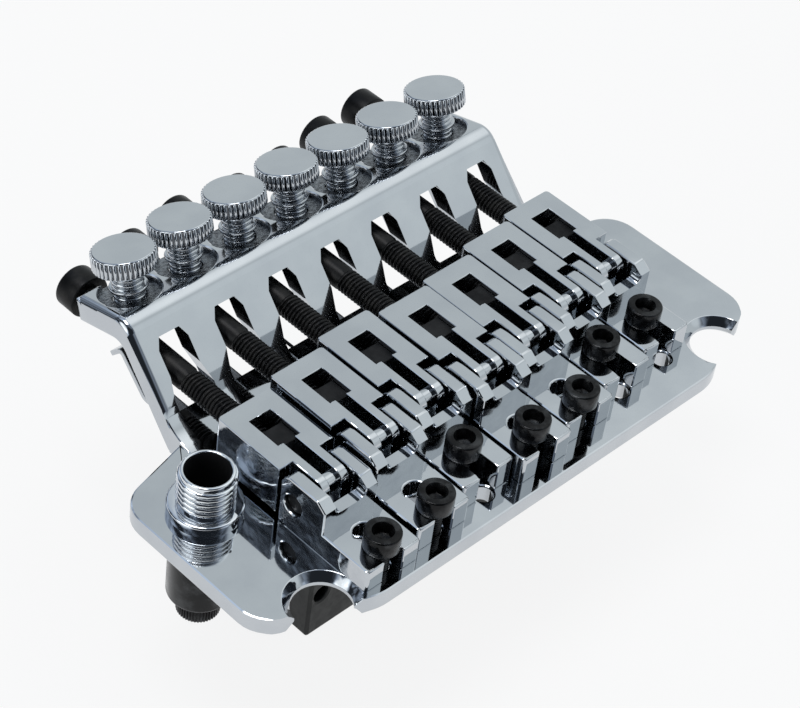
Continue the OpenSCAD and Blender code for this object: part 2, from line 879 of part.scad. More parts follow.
module lock_block(i) {
    block_across = pocket_w - 2 * thread_gap;
    color(dark_steel)
        at_saddle(i)
            translate([-block_across / 2, -pocket_start - pocket_l + slide_gap, slide_gap - pocket_depth])
                cube([block_across, lock_block_l - slide_gap, lock_block_h]);
}

module lock_screw(i) {
    color(black_steel)
        at_saddle(i)
            translate([0, lock_screw_l - lock_tip, -pin_drop])
                rotate([-90, 0, 0])
                    socket_screw(lock_screw_d, lock_screw_l, lock_head_d, lock_head_t, lock_hex);
}

// Fine tuners, each pressing down on a lock screw

module fine_tuner(i) {
    head_r = tuner_head_d / 2;
    shank_r = tuner_shank_d / 2;
    ring_r = tuner_ring_d / 2;
    tip_r = tuner_tip_d / 2;
    head_top = tuner_head_h - tuner_depth[i - 1];
    ring_low = tuner_ring_h - tuner_seat_depth - tuner_depth[i - 1];
    screw_top_z = lock_screw_z(i) + lock_screw_d / 2;
    tip = (screw_top_z + tuner_tip_gap + tip_r * sin(tuner_tilt) - shelf_z) / cos(tuner_tilt);
    color(chrome)
        at_tuner(i)
            rotate_extrude()
                polygon([
                    [0, tip],
                    [tip_r, tip],
                    [shank_r, tip + tuner_tip_l],
                    [shank_r, ring_low],
                    [ring_r, ring_low],
                    [ring_r, ring_low + tuner_ring_t],
                    [shank_r, ring_low + tuner_ring_t],
                    [shank_r, head_top - tuner_head_t],
                    [head_r - edge_r, head_top - tuner_head_t],
                    [head_r, head_top - tuner_head_t + edge_r],
                    [head_r, head_top - edge_r],
                    [head_r - edge_r, head_top],
                    [0, head_top]
                ]);
}

base_plate();
saddle_mount_screws();
leaf_spring();
leaf_spring_screws();
sustain_block();
block_screws();
arm_socket();
arm_socket_sleeve();
arm_tension_screw();
for (i = strings) {
    saddle_base(i);
    pivot_pin(i);
    string_holder(i);
    lock_block(i);
    lock_screw(i);
    fine_tuner(i);
}
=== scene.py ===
"""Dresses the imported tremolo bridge: rounded edges, screws, knurls, finishes and a studio."""

import logging
import math
from dataclasses import dataclass, field
from enum import Enum
from typing import Callable, Dict, Iterable, List, Optional, Sequence, Set, Tuple, Union

import bmesh
import bpy
from mathutils import Matrix, Vector


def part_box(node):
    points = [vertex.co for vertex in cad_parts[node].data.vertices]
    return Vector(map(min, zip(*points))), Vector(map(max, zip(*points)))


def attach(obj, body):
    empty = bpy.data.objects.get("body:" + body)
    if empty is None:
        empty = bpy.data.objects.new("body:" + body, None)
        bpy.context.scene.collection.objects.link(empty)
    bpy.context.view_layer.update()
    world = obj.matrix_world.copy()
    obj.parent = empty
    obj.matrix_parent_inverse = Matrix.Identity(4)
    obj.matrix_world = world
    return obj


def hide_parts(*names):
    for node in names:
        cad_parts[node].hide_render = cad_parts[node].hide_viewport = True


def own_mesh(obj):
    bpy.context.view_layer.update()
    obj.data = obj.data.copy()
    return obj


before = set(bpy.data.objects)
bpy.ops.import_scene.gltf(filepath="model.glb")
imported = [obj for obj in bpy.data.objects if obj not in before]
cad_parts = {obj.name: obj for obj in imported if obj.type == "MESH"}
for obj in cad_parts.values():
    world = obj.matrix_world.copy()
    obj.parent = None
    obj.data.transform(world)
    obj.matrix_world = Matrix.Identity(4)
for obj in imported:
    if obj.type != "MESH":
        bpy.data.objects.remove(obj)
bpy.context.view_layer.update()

LOG = logging.getLogger("bridge")
MM = 0.001
MIX_FIRST, MIX_SECOND, MIX_RESULT = 6, 7, 2  # the Mix node's sockets for colours
TURNED_CREASE = 50.0  # the angle past which an edge stays sharp on a turned piece, in degrees
COPIED_CREASE = 20.0  # the same on a rounded copy of a CAD node
FACING = 0.95  # how closely a face's normal follows an axis that it is said to face
HEX_CORNER = 1.155  # how far a hexagon's corners lie out, over its flats

Colour = Tuple[float, float, float]
Place = Tuple[float, float, float]
Number = Union[int, float]
EdgeTest = Callable[[bmesh.types.BMEdge], bool]
FaceTest = Callable[[bmesh.types.BMFace], bool]


class Body(Enum):
    """The bodies that aren't repeated for each string."""

    BRIDGE = "bridge"
    TENSION_SCREW = "tension_screw"


class Slot(Enum):
    """The record's material slots."""

    CHROME = "chrome"
    BLACK_OXIDE = "black_oxide"
    BARE_STEEL = "bare_steel"
    BLOCK = "block"


# Node trees


class Bench:
    """Builds nodes in one tree."""

    def __init__(self, tree: bpy.types.NodeTree) -> None:
        """Starts an empty tree.

        Args:
            tree: The tree that the nodes go into.
        """
        self.tree = tree
        tree.nodes.clear()

    def node(
        self,
        kind: str,
        settings: Optional[Dict[str, object]] = None,
        sockets: Optional[Dict[Union[str, int], object]] = None,
    ) -> bpy.types.Node:
        """Adds a node.

        Args:
            kind: The node's type.
            settings: The node's own settings.
            sockets: Values or links for its inputs, by name or number.

        Returns:
            The new node.
        """
        made = self.tree.nodes.new(kind)
        for name, value in (settings or {}).items():
            setattr(made, name, value)
        for name, value in (sockets or {}).items():
            link = value.socket if isinstance(value, Wire) else value
            if isinstance(link, bpy.types.NodeSocket):
                self.tree.links.new(link, made.inputs[name])
            else:
                made.inputs[name].default_value = link
        return made


class Wire:
    """A node's output that works in sums."""

    def __init__(self, bench: Bench, socket: bpy.types.NodeSocket) -> None:
        """Wraps a socket.

        Args:
            bench: The bench that adds the Math nodes.
            socket: The output that is wrapped.
        """
        self.bench = bench
        self.socket = socket

    def _sum(self, operation: str, first: object, second: object) -> "Wire":
        """Adds a Math node.

        Args:
            operation: The Math node's operation.
            first: Its first value or link.
            second: Its second value or link.

        Returns:
            The node's output.
        """
        made = self.bench.node("ShaderNodeMath", {"operation": operation}, {0: first, 1: second})
        return Wire(self.bench, made.outputs[0])

    def __add__(self, other: object) -> "Wire":
        """Adds."""
        return self._sum("ADD", self, other)

    def __radd__(self, other: object) -> "Wire":
        """Adds, from the right."""
        return self._sum("ADD", other, self)

    def __sub__(self, other: object) -> "Wire":
        """Takes away."""
        return self._sum("SUBTRACT", self, other)

    def __rsub__(self, other: object) -> "Wire":
        """Takes away, from the right."""
        return self._sum("SUBTRACT", other, self)

    def __mul__(self, other: object) -> "Wire":
        """Multiplies."""
        return self._sum("MULTIPLY", self, other)

    def __rmul__(self, other: object) -> "Wire":
        """Multiplies, from the right."""
        return self._sum("MULTIPLY", other, self)

    def over(self, low: float, high: float) -> "Wire":
        """Maps a range to 0 to 1, with soft ends.

        Args:
            low: The value that gives 0.
            high: The value that gives 1.

        Returns:
            The mapped value.
        """
        made = self.bench.node(
            "ShaderNodeMapRange",
            {"interpolation_type": "SMOOTHSTEP", "clamp": True},
            {"Value": self, "From Min": low, "From Max": high},
        )
        return Wire(self.bench, made.outputs[0])


class Shading(Bench):
    """Builds shader nodes, in a material or in the world."""

    def place(self) -> Wire:
        """Gives the place on the object, in metres."""
        return Wire(self, self.node("ShaderNodeTexCoord").outputs["Object"])

    def noise(self, place: Wire, scale: float, detail: float = 3.0, rough: float = 0.5) -> Wire:
        """Adds a noise.

        Args:
            place: Where the noise is read.
            scale: Its turns in a metre.
            detail: How many finer layers it has.
            rough: How strong the finer layers are.

        Returns:
            The noise's value, from 0 to 1.
        """
        sockets = {"Vector": place, "Scale": scale, "Detail": detail, "Roughness": rough}
        return Wire(self, self.node("ShaderNodeTexNoise", {}, sockets).outputs[0])

    def blend(self, share: object, first: object, second: object) -> Wire:
        """Mixes two colours.

        Args:
            share: How much of the second colour shows.
            first: The first colour or link.
            second: The second colour or link.

        Returns:
            The mixed colour.
        """
        sockets: Dict[Union[str, int], object] = {"Factor": share}
        for number, value in ((MIX_FIRST, first), (MIX_SECOND, second)):
            sockets[number] = value if isinstance(value, Wire) else (*value, 1.0)
        made = self.node("ShaderNodeMix", {"data_type": "RGBA"}, sockets)
        return Wire(self, made.outputs[MIX_RESULT])

    def relief(self, height: Wire, distance: float, strength: float) -> Wire:
        """Adds a bump.

        Args:
            height: The height, from 0 to 1.
            distance: What a height of 1 measures, in metres.
            strength: How much of it shows.

        Returns:
            The bent normal.
        """
        sockets = {"Height": height, "Distance": distance, "Strength": strength}
        return Wire(self, self.node("ShaderNodeBump", {}, sockets).outputs[0])

    def surface(self, sockets: Dict[str, object]) -> None:
        """Ends a material in one Principled shader.

        Args:
            sockets: The shader's values and links.
        """
        shader = self.node("ShaderNodeBsdfPrincipled", {}, sockets)
        self.node("ShaderNodeOutputMaterial", {}, {"Surface": shader.outputs[0]})


# Finishes


def new_material(name: str) -> Tuple[bpy.types.Material, Shading]:
    """Starts a material.

    Args:
        name: The material's name.

    Returns:
        The material and the bench for its nodes.
    """
    made = bpy.data.materials.new(name)
    made.use_nodes = True
    return made, Shading(made.node_tree)


@dataclass(frozen=True)
class ChromePlate:
    """Polished chrome over metal that was ground or cast by hand."""

    name: str = "chrome_plate"
    light: Colour = (0.60, 0.625, 0.65)
    dim: Colour = (0.55, 0.575, 0.605)
    roughness: float = 0.04
    haze: float = 0.035
    smear: float = 0.02
    wave: float = 0.012 * MM
    slot: Slot = Slot.CHROME

    def material(self) -> bpy.types.Material:
        """Builds the material.

        Returns:
            The material.
        """
        made, bench = new_material(self.name)
        place = bench.place()
        cloud = bench.noise(place, 140.0, 4.0)
        smear = bench.noise(place, 900.0, 3.0, 0.6).over(0.35, 0.75)
        swell = bench.noise(place, 220.0, 2.0)
        rough = cloud.over(0.4, 0.8)
        bench.surface(
            {
                "Base Color": bench.blend(cloud.over(0.3, 0.7), self.dim, self.light),
                "Metallic": 1.0,
                "Roughness": rough * self.haze + smear * self.smear + self.roughness,
                "Normal": bench.relief(swell, self.wave, 0.5),
            }
        )
        return made


@dataclass(frozen=True)
class GroundChrome(ChromePlate):
    """Chrome over side faces that were only ground, so that what they mirror is broken up."""

    name: str = "ground_chrome"
    roughness: float = 0.05
    haze: float = 0.10
    grit: float = 0.06
    wave: float = 0.11 * MM

    def material(self) -> bpy.types.Material:
        """Builds the material.

        Returns:
            The material.
        """
        made, bench = new_material(self.name)
        place = bench.place()
        cloud = bench.noise(place, 300.0, 5.0, 0.6)
        grain = bench.noise(place, 1900.0, 4.0, 0.6)
        swell = bench.noise(place, 240.0, 2.0)
        rough = cloud.over(0.4, 0.7)
        bench.surface(
            {
                "Base Color": bench.blend(cloud.over(0.35, 0.65), self.dim, self.light),
                "Metallic": 1.0,
                "Roughness": rough * self.haze + grain.over(0.4, 0.7) * self.grit + self.roughness,
                "Normal": bench.relief(swell + grain * 0.03, self.wave, 0.8),
            }
        )
        return made


@dataclass(frozen=True)
class CastSeat:
    """Chrome over the rough floor of a cast seat, with its colour darkened as painted shade under
    the tuner's head.
    """

    name: str = "cast_seat"
    # Both shades are far darker than the plate's chrome: painted shade under the tuner's head.
    light: Colour = (0.30, 0.32, 0.34)
    dim: Colour = (0.07, 0.075, 0.085)
    slot: Slot = Slot.CHROME

    def material(self) -> bpy.types.Material:
        """Builds the material.

        Returns:
            The material.
        """
        made, bench = new_material(self.name)
        grain = bench.noise(bench.place(), 1400.0, 5.0, 0.65)
        bench.surface(
            {
                "Base Color": bench.blend(grain.over(0.35, 0.65), self.dim, self.light),
                "Metallic": 1.0,
                "Roughness": grain.over(0.3, 0.7) * 0.2 + 0.16,
                "Normal": bench.relief(grain, 0.16 * MM, 0.9),
            }
        )
        return made


@dataclass(frozen=True)
class BlackOxide:
    """Oiled black oxide on a steel screw, grey where it is handled."""

    name: str = "black_oxide"
    deep: Colour = (0.010, 0.010, 0.0105)
    worn: Colour = (0.050, 0.052, 0.054)
    roughness: float = 0.13
    grit: float = 0.01 * MM
    slot: Slot = Slot.BLACK_OXIDE

    def material(self) -> bpy.types.Material:
        """Builds the material.

        Returns:
            The material.
        """
        made, bench = new_material(self.name)
        place = bench.place()
        patch = bench.noise(place, 420.0, 4.0, 0.6)
        grain = bench.noise(place, 5200.0, 2.0)
        pits = bench.noise(place, 1500.0, 3.0, 0.6)
        bench.surface(
            {
                "Base Color": bench.blend(patch.over(0.42, 0.72), self.deep, self.worn),
                "Metallic": 0.75,
                "Roughness": patch.over(0.3, 0.7) * 0.14 + self.roughness,
                "Normal": bench.relief(grain * 0.25 + pits, self.grit, 0.6),
            }
        )
        return made


@dataclass(frozen=True)
class BareSteel:
    """Dull hardened steel, dark from its heat treatment."""

    name: str = "bare_steel"
    light: Colour = (0.026, 0.026, 0.027)
    dark: Colour = (0.010, 0.010, 0.011)
    slot: Slot = Slot.BARE_STEEL

    def material(self) -> bpy.types.Material:
        """Builds the material.

        Returns:
            The material.
        """
        made, bench = new_material(self.name)
        place = bench.place()
        grain = bench.noise(place, 1600.0, 5.0, 0.65)
        patch = bench.noise(place, 260.0, 2.0)
        bench.surface(
            {
                "Base Color": bench.blend(patch.over(0.3, 0.7), self.dark, self.light),
                "Metallic": 0.8,
                "Roughness": grain.over(0.3, 0.7) * 0.16 + 0.42,
                "Normal": bench.relief(grain, 0.02 * MM, 0.6),
            }
        )
        return made


@dataclass(frozen=True)
class BlockCoating:
    """Dark satin coating over a cast and milled block."""

    name: str = "block_coating"
    dark: Colour = (0.016, 0.017, 0.017)
    light: Colour = (0.036, 0.038, 0.036)
    slot: Slot = Slot.BLOCK

    def material(self) -> bpy.types.Material:
        """Builds the material.

        Returns:
            The material.
        """
        made, bench = new_material(self.name)
        place = bench.place()
        cast = bench.noise(place, 700.0, 5.0, 0.6)
        patch = bench.noise(place, 90.0, 3.0)
        bench.surface(
            {
                "Base Color": bench.blend(patch.over(0.35, 0.65), self.dark, self.light),
                "Metallic": 0.55,
                "Roughness": cast.over(0.3, 0.7) * 0.14 + 0.34,
                "Normal": bench.relief(cast, 0.03 * MM, 0.6),
            }
        )
        return made


@dataclass(frozen=True)
class Bushing:
    """Black plastic that lines the arm's bore."""

    name: str = "bushing"
    light: Colour = (0.014, 0.014, 0.015)
    dark: Colour = (0.006, 0.006, 0.007)
    slot: Slot = Slot.BLACK_OXIDE

    def material(self) -> bpy.types.Material:
        """Builds the material.

        Returns:
            The material.
        """
        made, bench = new_material(self.name)
        grain = bench.noise(bench.place(), 900.0, 4.0)
        bench.surface(
            {
                "Base Color": bench.blend(grain, self.dark, self.light),
                "Roughness": grain * 0.15 + 0.5,
            }
        )
        return made


Finish = Union[ChromePlate, CastSeat, BlackOxide, BareSteel, BlockCoating, Bushing]


class Paints:
    """Keeps one material for each finish."""

    def __init__(self) -> None:
        """Starts with no materials."""
        self._made: Dict[str, bpy.types.Material] = {}

    def of(self, finish: Finish) -> bpy.types.Material:
        """Gives a finish's material, and builds it the first time.

        Args:
            finish: The finish.

        Returns:
            Its material.
        """
        if finish.name not in self._made:
            self._made[finish.name] = finish.material()
        return self._made[finish.name]


PAINTS = Paints()


# Meshes


def put(name: str, data: bpy.types.ID) -> bpy.types.Object:
    """Makes an object of a mesh, a lamp or a camera, and puts it in the scene.

    Args:
        name: The object's name.
        data: Its mesh, lamp or camera.

    Returns:
        The object.
    """
    made = bpy.data.objects.new(name, data)
    bpy.context.scene.collection.objects.link(made)
    return made


def drawn(form: bmesh.types.BMesh, name: str) -> bpy.types.Mesh:
    """Turns a form into a mesh, and drops the form.

    Args:
        form: The form.
        name: The mesh's name.

    Returns:
        The mesh.
    """
    mesh = bpy.data.meshes.new(name)
    form.to_mesh(mesh)
    form.free()
    return mesh


def middle_of(edge: bmesh.types.BMEdge) -> Vector:
    """Gives the middle of an edge, in metres."""
    return (edge.verts[0].co + edge.verts[1].co) / 2


@dataclass
class Piece:
    """One finished piece that takes the place of CAD nodes."""

    name: str
    body: str
    nodes: Sequence[str]
    finishes: Sequence[Finish]
    level: bool = False
    form: bmesh.types.BMesh = field(default_factory=bmesh.new)

    def add(self, mesh: bpy.types.Mesh, place: Matrix = Matrix.Identity(4)) -> None:
        """Adds a mesh to the piece in its first finish, and drops the mesh.

        Args:
            mesh: The mesh.
            place: Where it goes.
        """
        first = len(self.form.faces)
        mesh.transform(place)
        self.form.from_mesh(mesh)
        self.form.faces.ensure_lookup_table()
        for face in self.form.faces[first:]:
            face.material_index = 0
        bpy.data.meshes.remove(mesh)

    def repaint(self, where: FaceTest) -> None:
        """Gives the faces that a test picks the second finish.

        Args:
            where: The test.
        """
        for face in self.form.faces:
            if where(face):
                face.material_index = 1

    @staticmethod
    def _level(made: bpy.types.Object) -> None:
        """Keeps the shading of flat faces flat beside their rounded edges.

        Args:
            made: The piece's object.
        """
        modifier = made.modifiers.new("level", "WEIGHTED_NORMAL")
        modifier.mode = "FACE_AREA"
        modifier.weight = 100
        modifier.keep_sharp = True
        layer = bpy.context.evaluated_depsgraph_get()
        plain = bpy.data.meshes.new_from_object(made.evaluated_get(layer))
        made.modifiers.clear()
        made.data = plain

    def finish(self, crease: float = TURNED_CREASE) -> bpy.types.Object:
        """Makes the piece's object and lets it ride on its body.

        Args:
            crease: The angle past which an edge stays sharp, in degrees.

        Returns:
            The object.
        """
        mesh = drawn(self.form, self.name)
        for finish in self.finishes:
            mesh.materials.append(PAINTS.of(finish))
        mesh.shade_smooth()
        mesh.set_sharp_from_angle(angle=math.radians(crease))
        made = put(self.name, mesh)
        if self.level:
            self._level(made)
        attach(made, self.body)
        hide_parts(*self.nodes)
        LOG.info("%s: %d faces on %s", self.name, len(mesh.polygons), self.body)
        return made


@dataclass(frozen=True)
class Station:
    """One level of a turned shape: a radius, a height, and six sides where it is a hex socket."""

    radius: float
    height: float
    hexagon: bool = False


def arc(
    radius: float, height: float, bend: float, start: float, stop: float, steps: int
) -> List[Station]:
    """Gives the levels of a rounded edge.

    Args:
        radius: How far the arc's centre lies from the axis, in mm.
        height: How high the arc's centre lies, in mm.
        bend: The arc's own radius, in mm.
        start: Where the arc starts, in degrees, with 0 outwards and 90 upwards.
        stop: Where it stops.
        steps: How many faces it has.

    Returns:
        The levels.
    """
    turn = [math.radians(start + (stop - start) * k / steps) for k in range(steps + 1)]
    return [Station(radius + bend * math.cos(a), height + bend * math.sin(a)) for a in turn]


def screw_end(radius: float, length: float, inset: float, rise: float) -> List[Station]:
    """Gives the levels of a screw's flat end with its bevel, below the origin.

    Args:
        radius: The screw's radius above the bevel, in mm.
        length: How far down the end lies.
        inset: How far in the bevel goes.
        rise: How far up it goes.

    Returns:
        The levels, from the middle of the end.
    """
    return [Station(0.0, -length), Station(radius - inset, -length), Station(radius, rise - length)]


def hex_reach(reach: float, turn: float) -> float:
    """Gives how far a hexagon's wall lies from its middle.

    Args:
        reach: How far its flats lie from its middle.
        turn: The direction, in radians.

    Returns:
        The distance.
    """
    half = math.pi / 6.0
    return reach / math.cos((turn + half) % (2.0 * half) - half)


def turned(stations: Sequence[Station], sides: int) -> bpy.types.Mesh:
    """Turns a closed shape about Z, from the middle of one end to that of the other, or as a ring.

    Args:
        stations: Its levels, in mm. A tube's last level is its first one again.
        sides: How many faces go round.

    Returns:
        The mesh, in metres.
    """
    form = bmesh.new()
    tube = stations[0] == stations[-1]
    rows: List[List[bmesh.types.BMVert]] = []
    for station in stations[:-1] if tube else stations:
        height = station.height * MM
        if station.radius == 0.0:
            rows.append([form.verts.new((0.0, 0.0, height))])
            continue
        row = []
        for k in range(sides):
            turn = 2.0 * math.pi * k / sides
            reach = station.radius
            if station.hexagon:
                reach = hex_reach(reach, turn)
            spot = (reach * MM * math.cos(turn), reach * MM * math.sin(turn), height)
            row.append(form.verts.new(spot))
        rows.append(row)
    if tube:
        rows.append(rows[0])
    for lower, upper in zip(rows, rows[1:]):
        for k in range(sides):
            around = [(lower, k), (lower, k + 1), (upper, k + 1), (upper, k)]
            corners = list(dict.fromkeys(row[n % sides % len(row)] for row, n in around))
            if len(corners) > 2:
                form.faces.new(corners)
    bmesh.ops.recalc_face_normals(form, faces=form.faces)
    return drawn(form, "turned")


class GeometryTree(Bench):
    """A Geometry Nodes tree with named sizes that gives plain meshes."""

    def __init__(self, name: str, sizes: Dict[str, Number]) -> None:
        """Starts the tree.

        Args:
            name: The tree's name.
            sizes: Its inputs, with their first values.
        """
        super().__init__(bpy.data.node_groups.new(name, "GeometryNodeTree"))
        self.keys: Dict[str, str] = {}
        ports = self.tree.interface
        ports.new_socket(name="Geometry", in_out="OUTPUT", socket_type="NodeSocketGeometry")
        for label, value in sizes.items():
            kind = "NodeSocketInt" if isinstance(value, int) else "NodeSocketFloat"
            port = ports.new_socket(name=label, in_out="INPUT", socket_type=kind)
            port.default_value = value
            self.keys[label] = port.identifier
        port = ports.new_socket(name="Finish", in_out="INPUT", socket_type="NodeSocketMaterial")
        self.keys["Finish"] = port.identifier
        self.source = self.node("NodeGroupInput")

    def size(self, label: str) -> Wire:
        """Gives one of the tree's inputs."""
        return Wire(self, self.source.outputs[label])

    def close(self, shape: bpy.types.NodeSocket) -> None:
        """Ends the tree.

        Args:
            shape: The finished shape.
        """
        plain = self.node("GeometryNodeRealizeInstances", {}, {"Geometry": shape})
        sockets = {"Geometry": plain.outputs[0], "Material": self.source.outputs["Finish"]}
        painted = self.node("GeometryNodeSetMaterial", {}, sockets)
        self.node("NodeGroupOutput", {}, {0: painted.outputs[0]})

    def made(self, finish: Finish, sizes: Dict[str, Number]) -> bpy.types.Mesh:
        """Runs the tree once.

        Args:
            finish: The finish of the shape.
            sizes: The inputs' values.

        Returns:
            The plain mesh.
        """
        carrier = put("carrier", bpy.data.meshes.new("carrier"))
        modifier = carrier.modifiers.new("tree", "NODES")
        modifier.node_group = self.tree
        for label, value in sizes.items():
            modifier[self.keys[label]] = value
        modifier[self.keys["Finish"]] = PAINTS.of(finish)
        layer = bpy.context.evaluated_depsgraph_get()
        mesh = bpy.data.meshes.new_from_object(carrier.evaluated_get(layer))
        carrier.modifiers.clear()
        empty = carrier.data
        bpy.data.objects.remove(carrier)
        bpy.data.meshes.remove(empty)
        return mesh


class ThreadTree(GeometryTree):
    """A screw thread: one ridge that winds up from the origin."""

    def __init__(self) -> None:
        """Builds the tree."""
        sizes = {"Radius": 2.0 * MM, "Pitch": 0.7 * MM, "Turns": 10.0, "Ridge": 0.3 * MM}
        super().__init__("thread", sizes)
        spiral = {
            "Resolution": 20,
            "Rotations": self.size("Turns"),
            "Start Radius": self.size("Radius"),
            "End Radius": self.size("Radius"),
            "Height": self.size("Pitch") * self.size("Turns"),
        }
        path = self.node("GeometryNodeCurveSpiral", {}, spiral).outputs[0]
        upright = self.node("GeometryNodeSetCurveNormal", {"mode": "Z_UP"}, {"Curve": path})
        circle = {"Resolution": 8, "Radius": self.size("Ridge")}
        ridge = self.node("GeometryNodeCurvePrimitiveCircle", {}, circle).outputs[0]
        sweep = {"Curve": upright.outputs[0], "Profile Curve": ridge, "Fill Caps": True}
        self.close(self.node("GeometryNodeCurveToMesh", {}, sweep).outputs[0])


class KnurlTree(GeometryTree):
    """A ring of upright ribs with round ends."""

    def __init__(self) -> None:
        """Builds the tree."""
        sizes = {"Count": 36, "Radius": 4.6 * MM, "Rib": 0.36 * MM, "Half height": 1.0 * MM}
        super().__init__("knurl", sizes)
        sphere = {"Segments": 8, "Rings": 6, "Radius": self.size("Rib")}
        ball = self.node("GeometryNodeMeshUVSphere", {}, sphere).outputs[0]
        spot = self.node("GeometryNodeInputPosition").outputs[0]
        parts = self.node("ShaderNodeSeparateXYZ", {}, {0: spot}).outputs
        side = self.node("ShaderNodeMath", {"operation": "SIGN"}, {0: parts["Z"]})
        lift = Wire(self, side.outputs[0]) * self.size("Half height")
        shift = self.node("ShaderNodeCombineXYZ", {}, {"Z": lift}).outputs[0]
        rib = self.node("GeometryNodeSetPosition", {}, {"Geometry": ball, "Offset": shift})
        circle = {"Vertices": self.size("Count"), "Radius": self.size("Radius")}
        ring = self.node("GeometryNodeMeshCircle", {}, circle).outputs[0]
        ribs = {"Points": ring, "Instance": rib.outputs[0]}
        self.close(self.node("GeometryNodeInstanceOnPoints", {}, ribs).outputs[0])


@dataclass(frozen=True)
class Thread:
    """A thread's own sizes, in mm, between two heights."""

    radius: float
    pitch: float
    start: float
    stop: float
    ridge_share: float = 0.47
    ridge_shown: float = 0.95

    @property
    def ridge(self) -> float:
        """Gives half of the ridge's width."""
        return self.pitch * self.ridge_share

    @property
    def core(self) -> float:
        """Gives the radius between the ridges."""
        return self.radius - self.ridge * self.ridge_shown

    def mesh(self, tree: ThreadTree, finish: Finish) -> bpy.types.Mesh:
        """Winds the ridge.

        Args:
            tree: The tree that winds it.
            finish: Its finish.

        Returns:
            The mesh, with its start at its own height.
        """
        sizes = {
            "Radius": (self.radius - self.ridge) * MM,
            "Pitch": self.pitch * MM,
            "Turns": (self.stop - self.start - 2.0 * self.ridge) / self.pitch,
            "Ridge": self.ridge * MM,
        }
        made = tree.made(finish, sizes)
        made.transform(Matrix.Translation((0.0, 0.0, (self.start + self.ridge) * MM)))
        return made


@dataclass(frozen=True)
class Knurl:
    """A knurl's own sizes, in mm, between two heights."""

    ribs: int
    radius: float
    rib: float
    low: float
    height: float
    margin: float

    @property
    def middle(self) -> Matrix:
        """Gives the move from the origin to the knurl's own middle."""
        return Matrix.Translation((0.0, 0.0, (self.low + self.height / 2) * MM))

    def mesh(self, tree: KnurlTree, finish: Finish) -> bpy.types.Mesh:
        """Sets the ribs around the origin.

        Args:
            tree: The tree that sets them.
            finish: Their finish.

        Returns:
            The mesh.
        """
        sizes = {
            "Count": self.ribs,
            "Radius": (self.radius - self.rib) * MM,
            "Rib": self.rib * MM,
            "Half height": (self.height / 2 - self.rib - self.margin) * MM,
        }
        return tree.made(finish, sizes)


# Sizes that the sub-assemblies share


@dataclass(frozen=True)
class Layout:
    """Where the strings' saddles, screws and tuners lie, in mm."""

    pitch: float = 10.7
    plate_top: float = 1.5
    saddle_h: float = 9.4
    saddle_rise: Tuple[float, ...] = (0.0, 1.2, 1.4, 1.7, 1.3, 1.2, 1.1)
    saddle_rear: Tuple[float, ...] = (24.4, 25.3, 26.9, 25.2, 26.5, 28.5, 29.9)
    pin_drop: float = 4.5
    lock_screw_r: float = 2.0
    tuner_y: float = 50.0
    shelf_z: float = 14.2
    tuner_tilt: float = 14.7
    notch_x: float = 42.7
    socket_x: float = -43.9
    socket_y: float = 18.6

    def strings(self) -> Iterable[int]:
        """Gives the strings' numbers."""
        return range(1, len(self.saddle_rise) + 1)

    def x(self, i: int) -> float:
        """Gives a string's place across the plate."""
        return (i - (len(self.saddle_rise) + 1) / 2) * self.pitch

    def saddle_z(self, i: int) -> float:
        """Gives a saddle's top."""
        return self.plate_top + self.saddle_h + self.saddle_rise[i - 1]

    def pin_z(self, i: int) -> float:
        """Gives the height of a saddle's pivot pin, where its lock screw's axis lies too."""
        return self.saddle_z(i) - self.pin_drop

    def at_tuner(self, i: int) -> Matrix:
        """Gives a fine tuner's place, with Z along its axis."""
        spot = Matrix.Translation(Vector((self.x(i), self.tuner_y, self.shelf_z)) * MM)
        return spot @ Matrix.Rotation(math.radians(-self.tuner_tilt), 4, "X")

    def at_socket(self) -> Matrix:
        """Gives the arm socket's place."""
        return Matrix.Translation(Vector((self.socket_x, self.socket_y, 0.0)) * MM)


# Sub-assemblies


@dataclass
class Trees:
    """The Geometry Nodes trees that the sub-assemblies share."""

    thread: ThreadTree = field(default_factory=ThreadTree)
    knurl: KnurlTree = field(default_factory=KnurlTree)


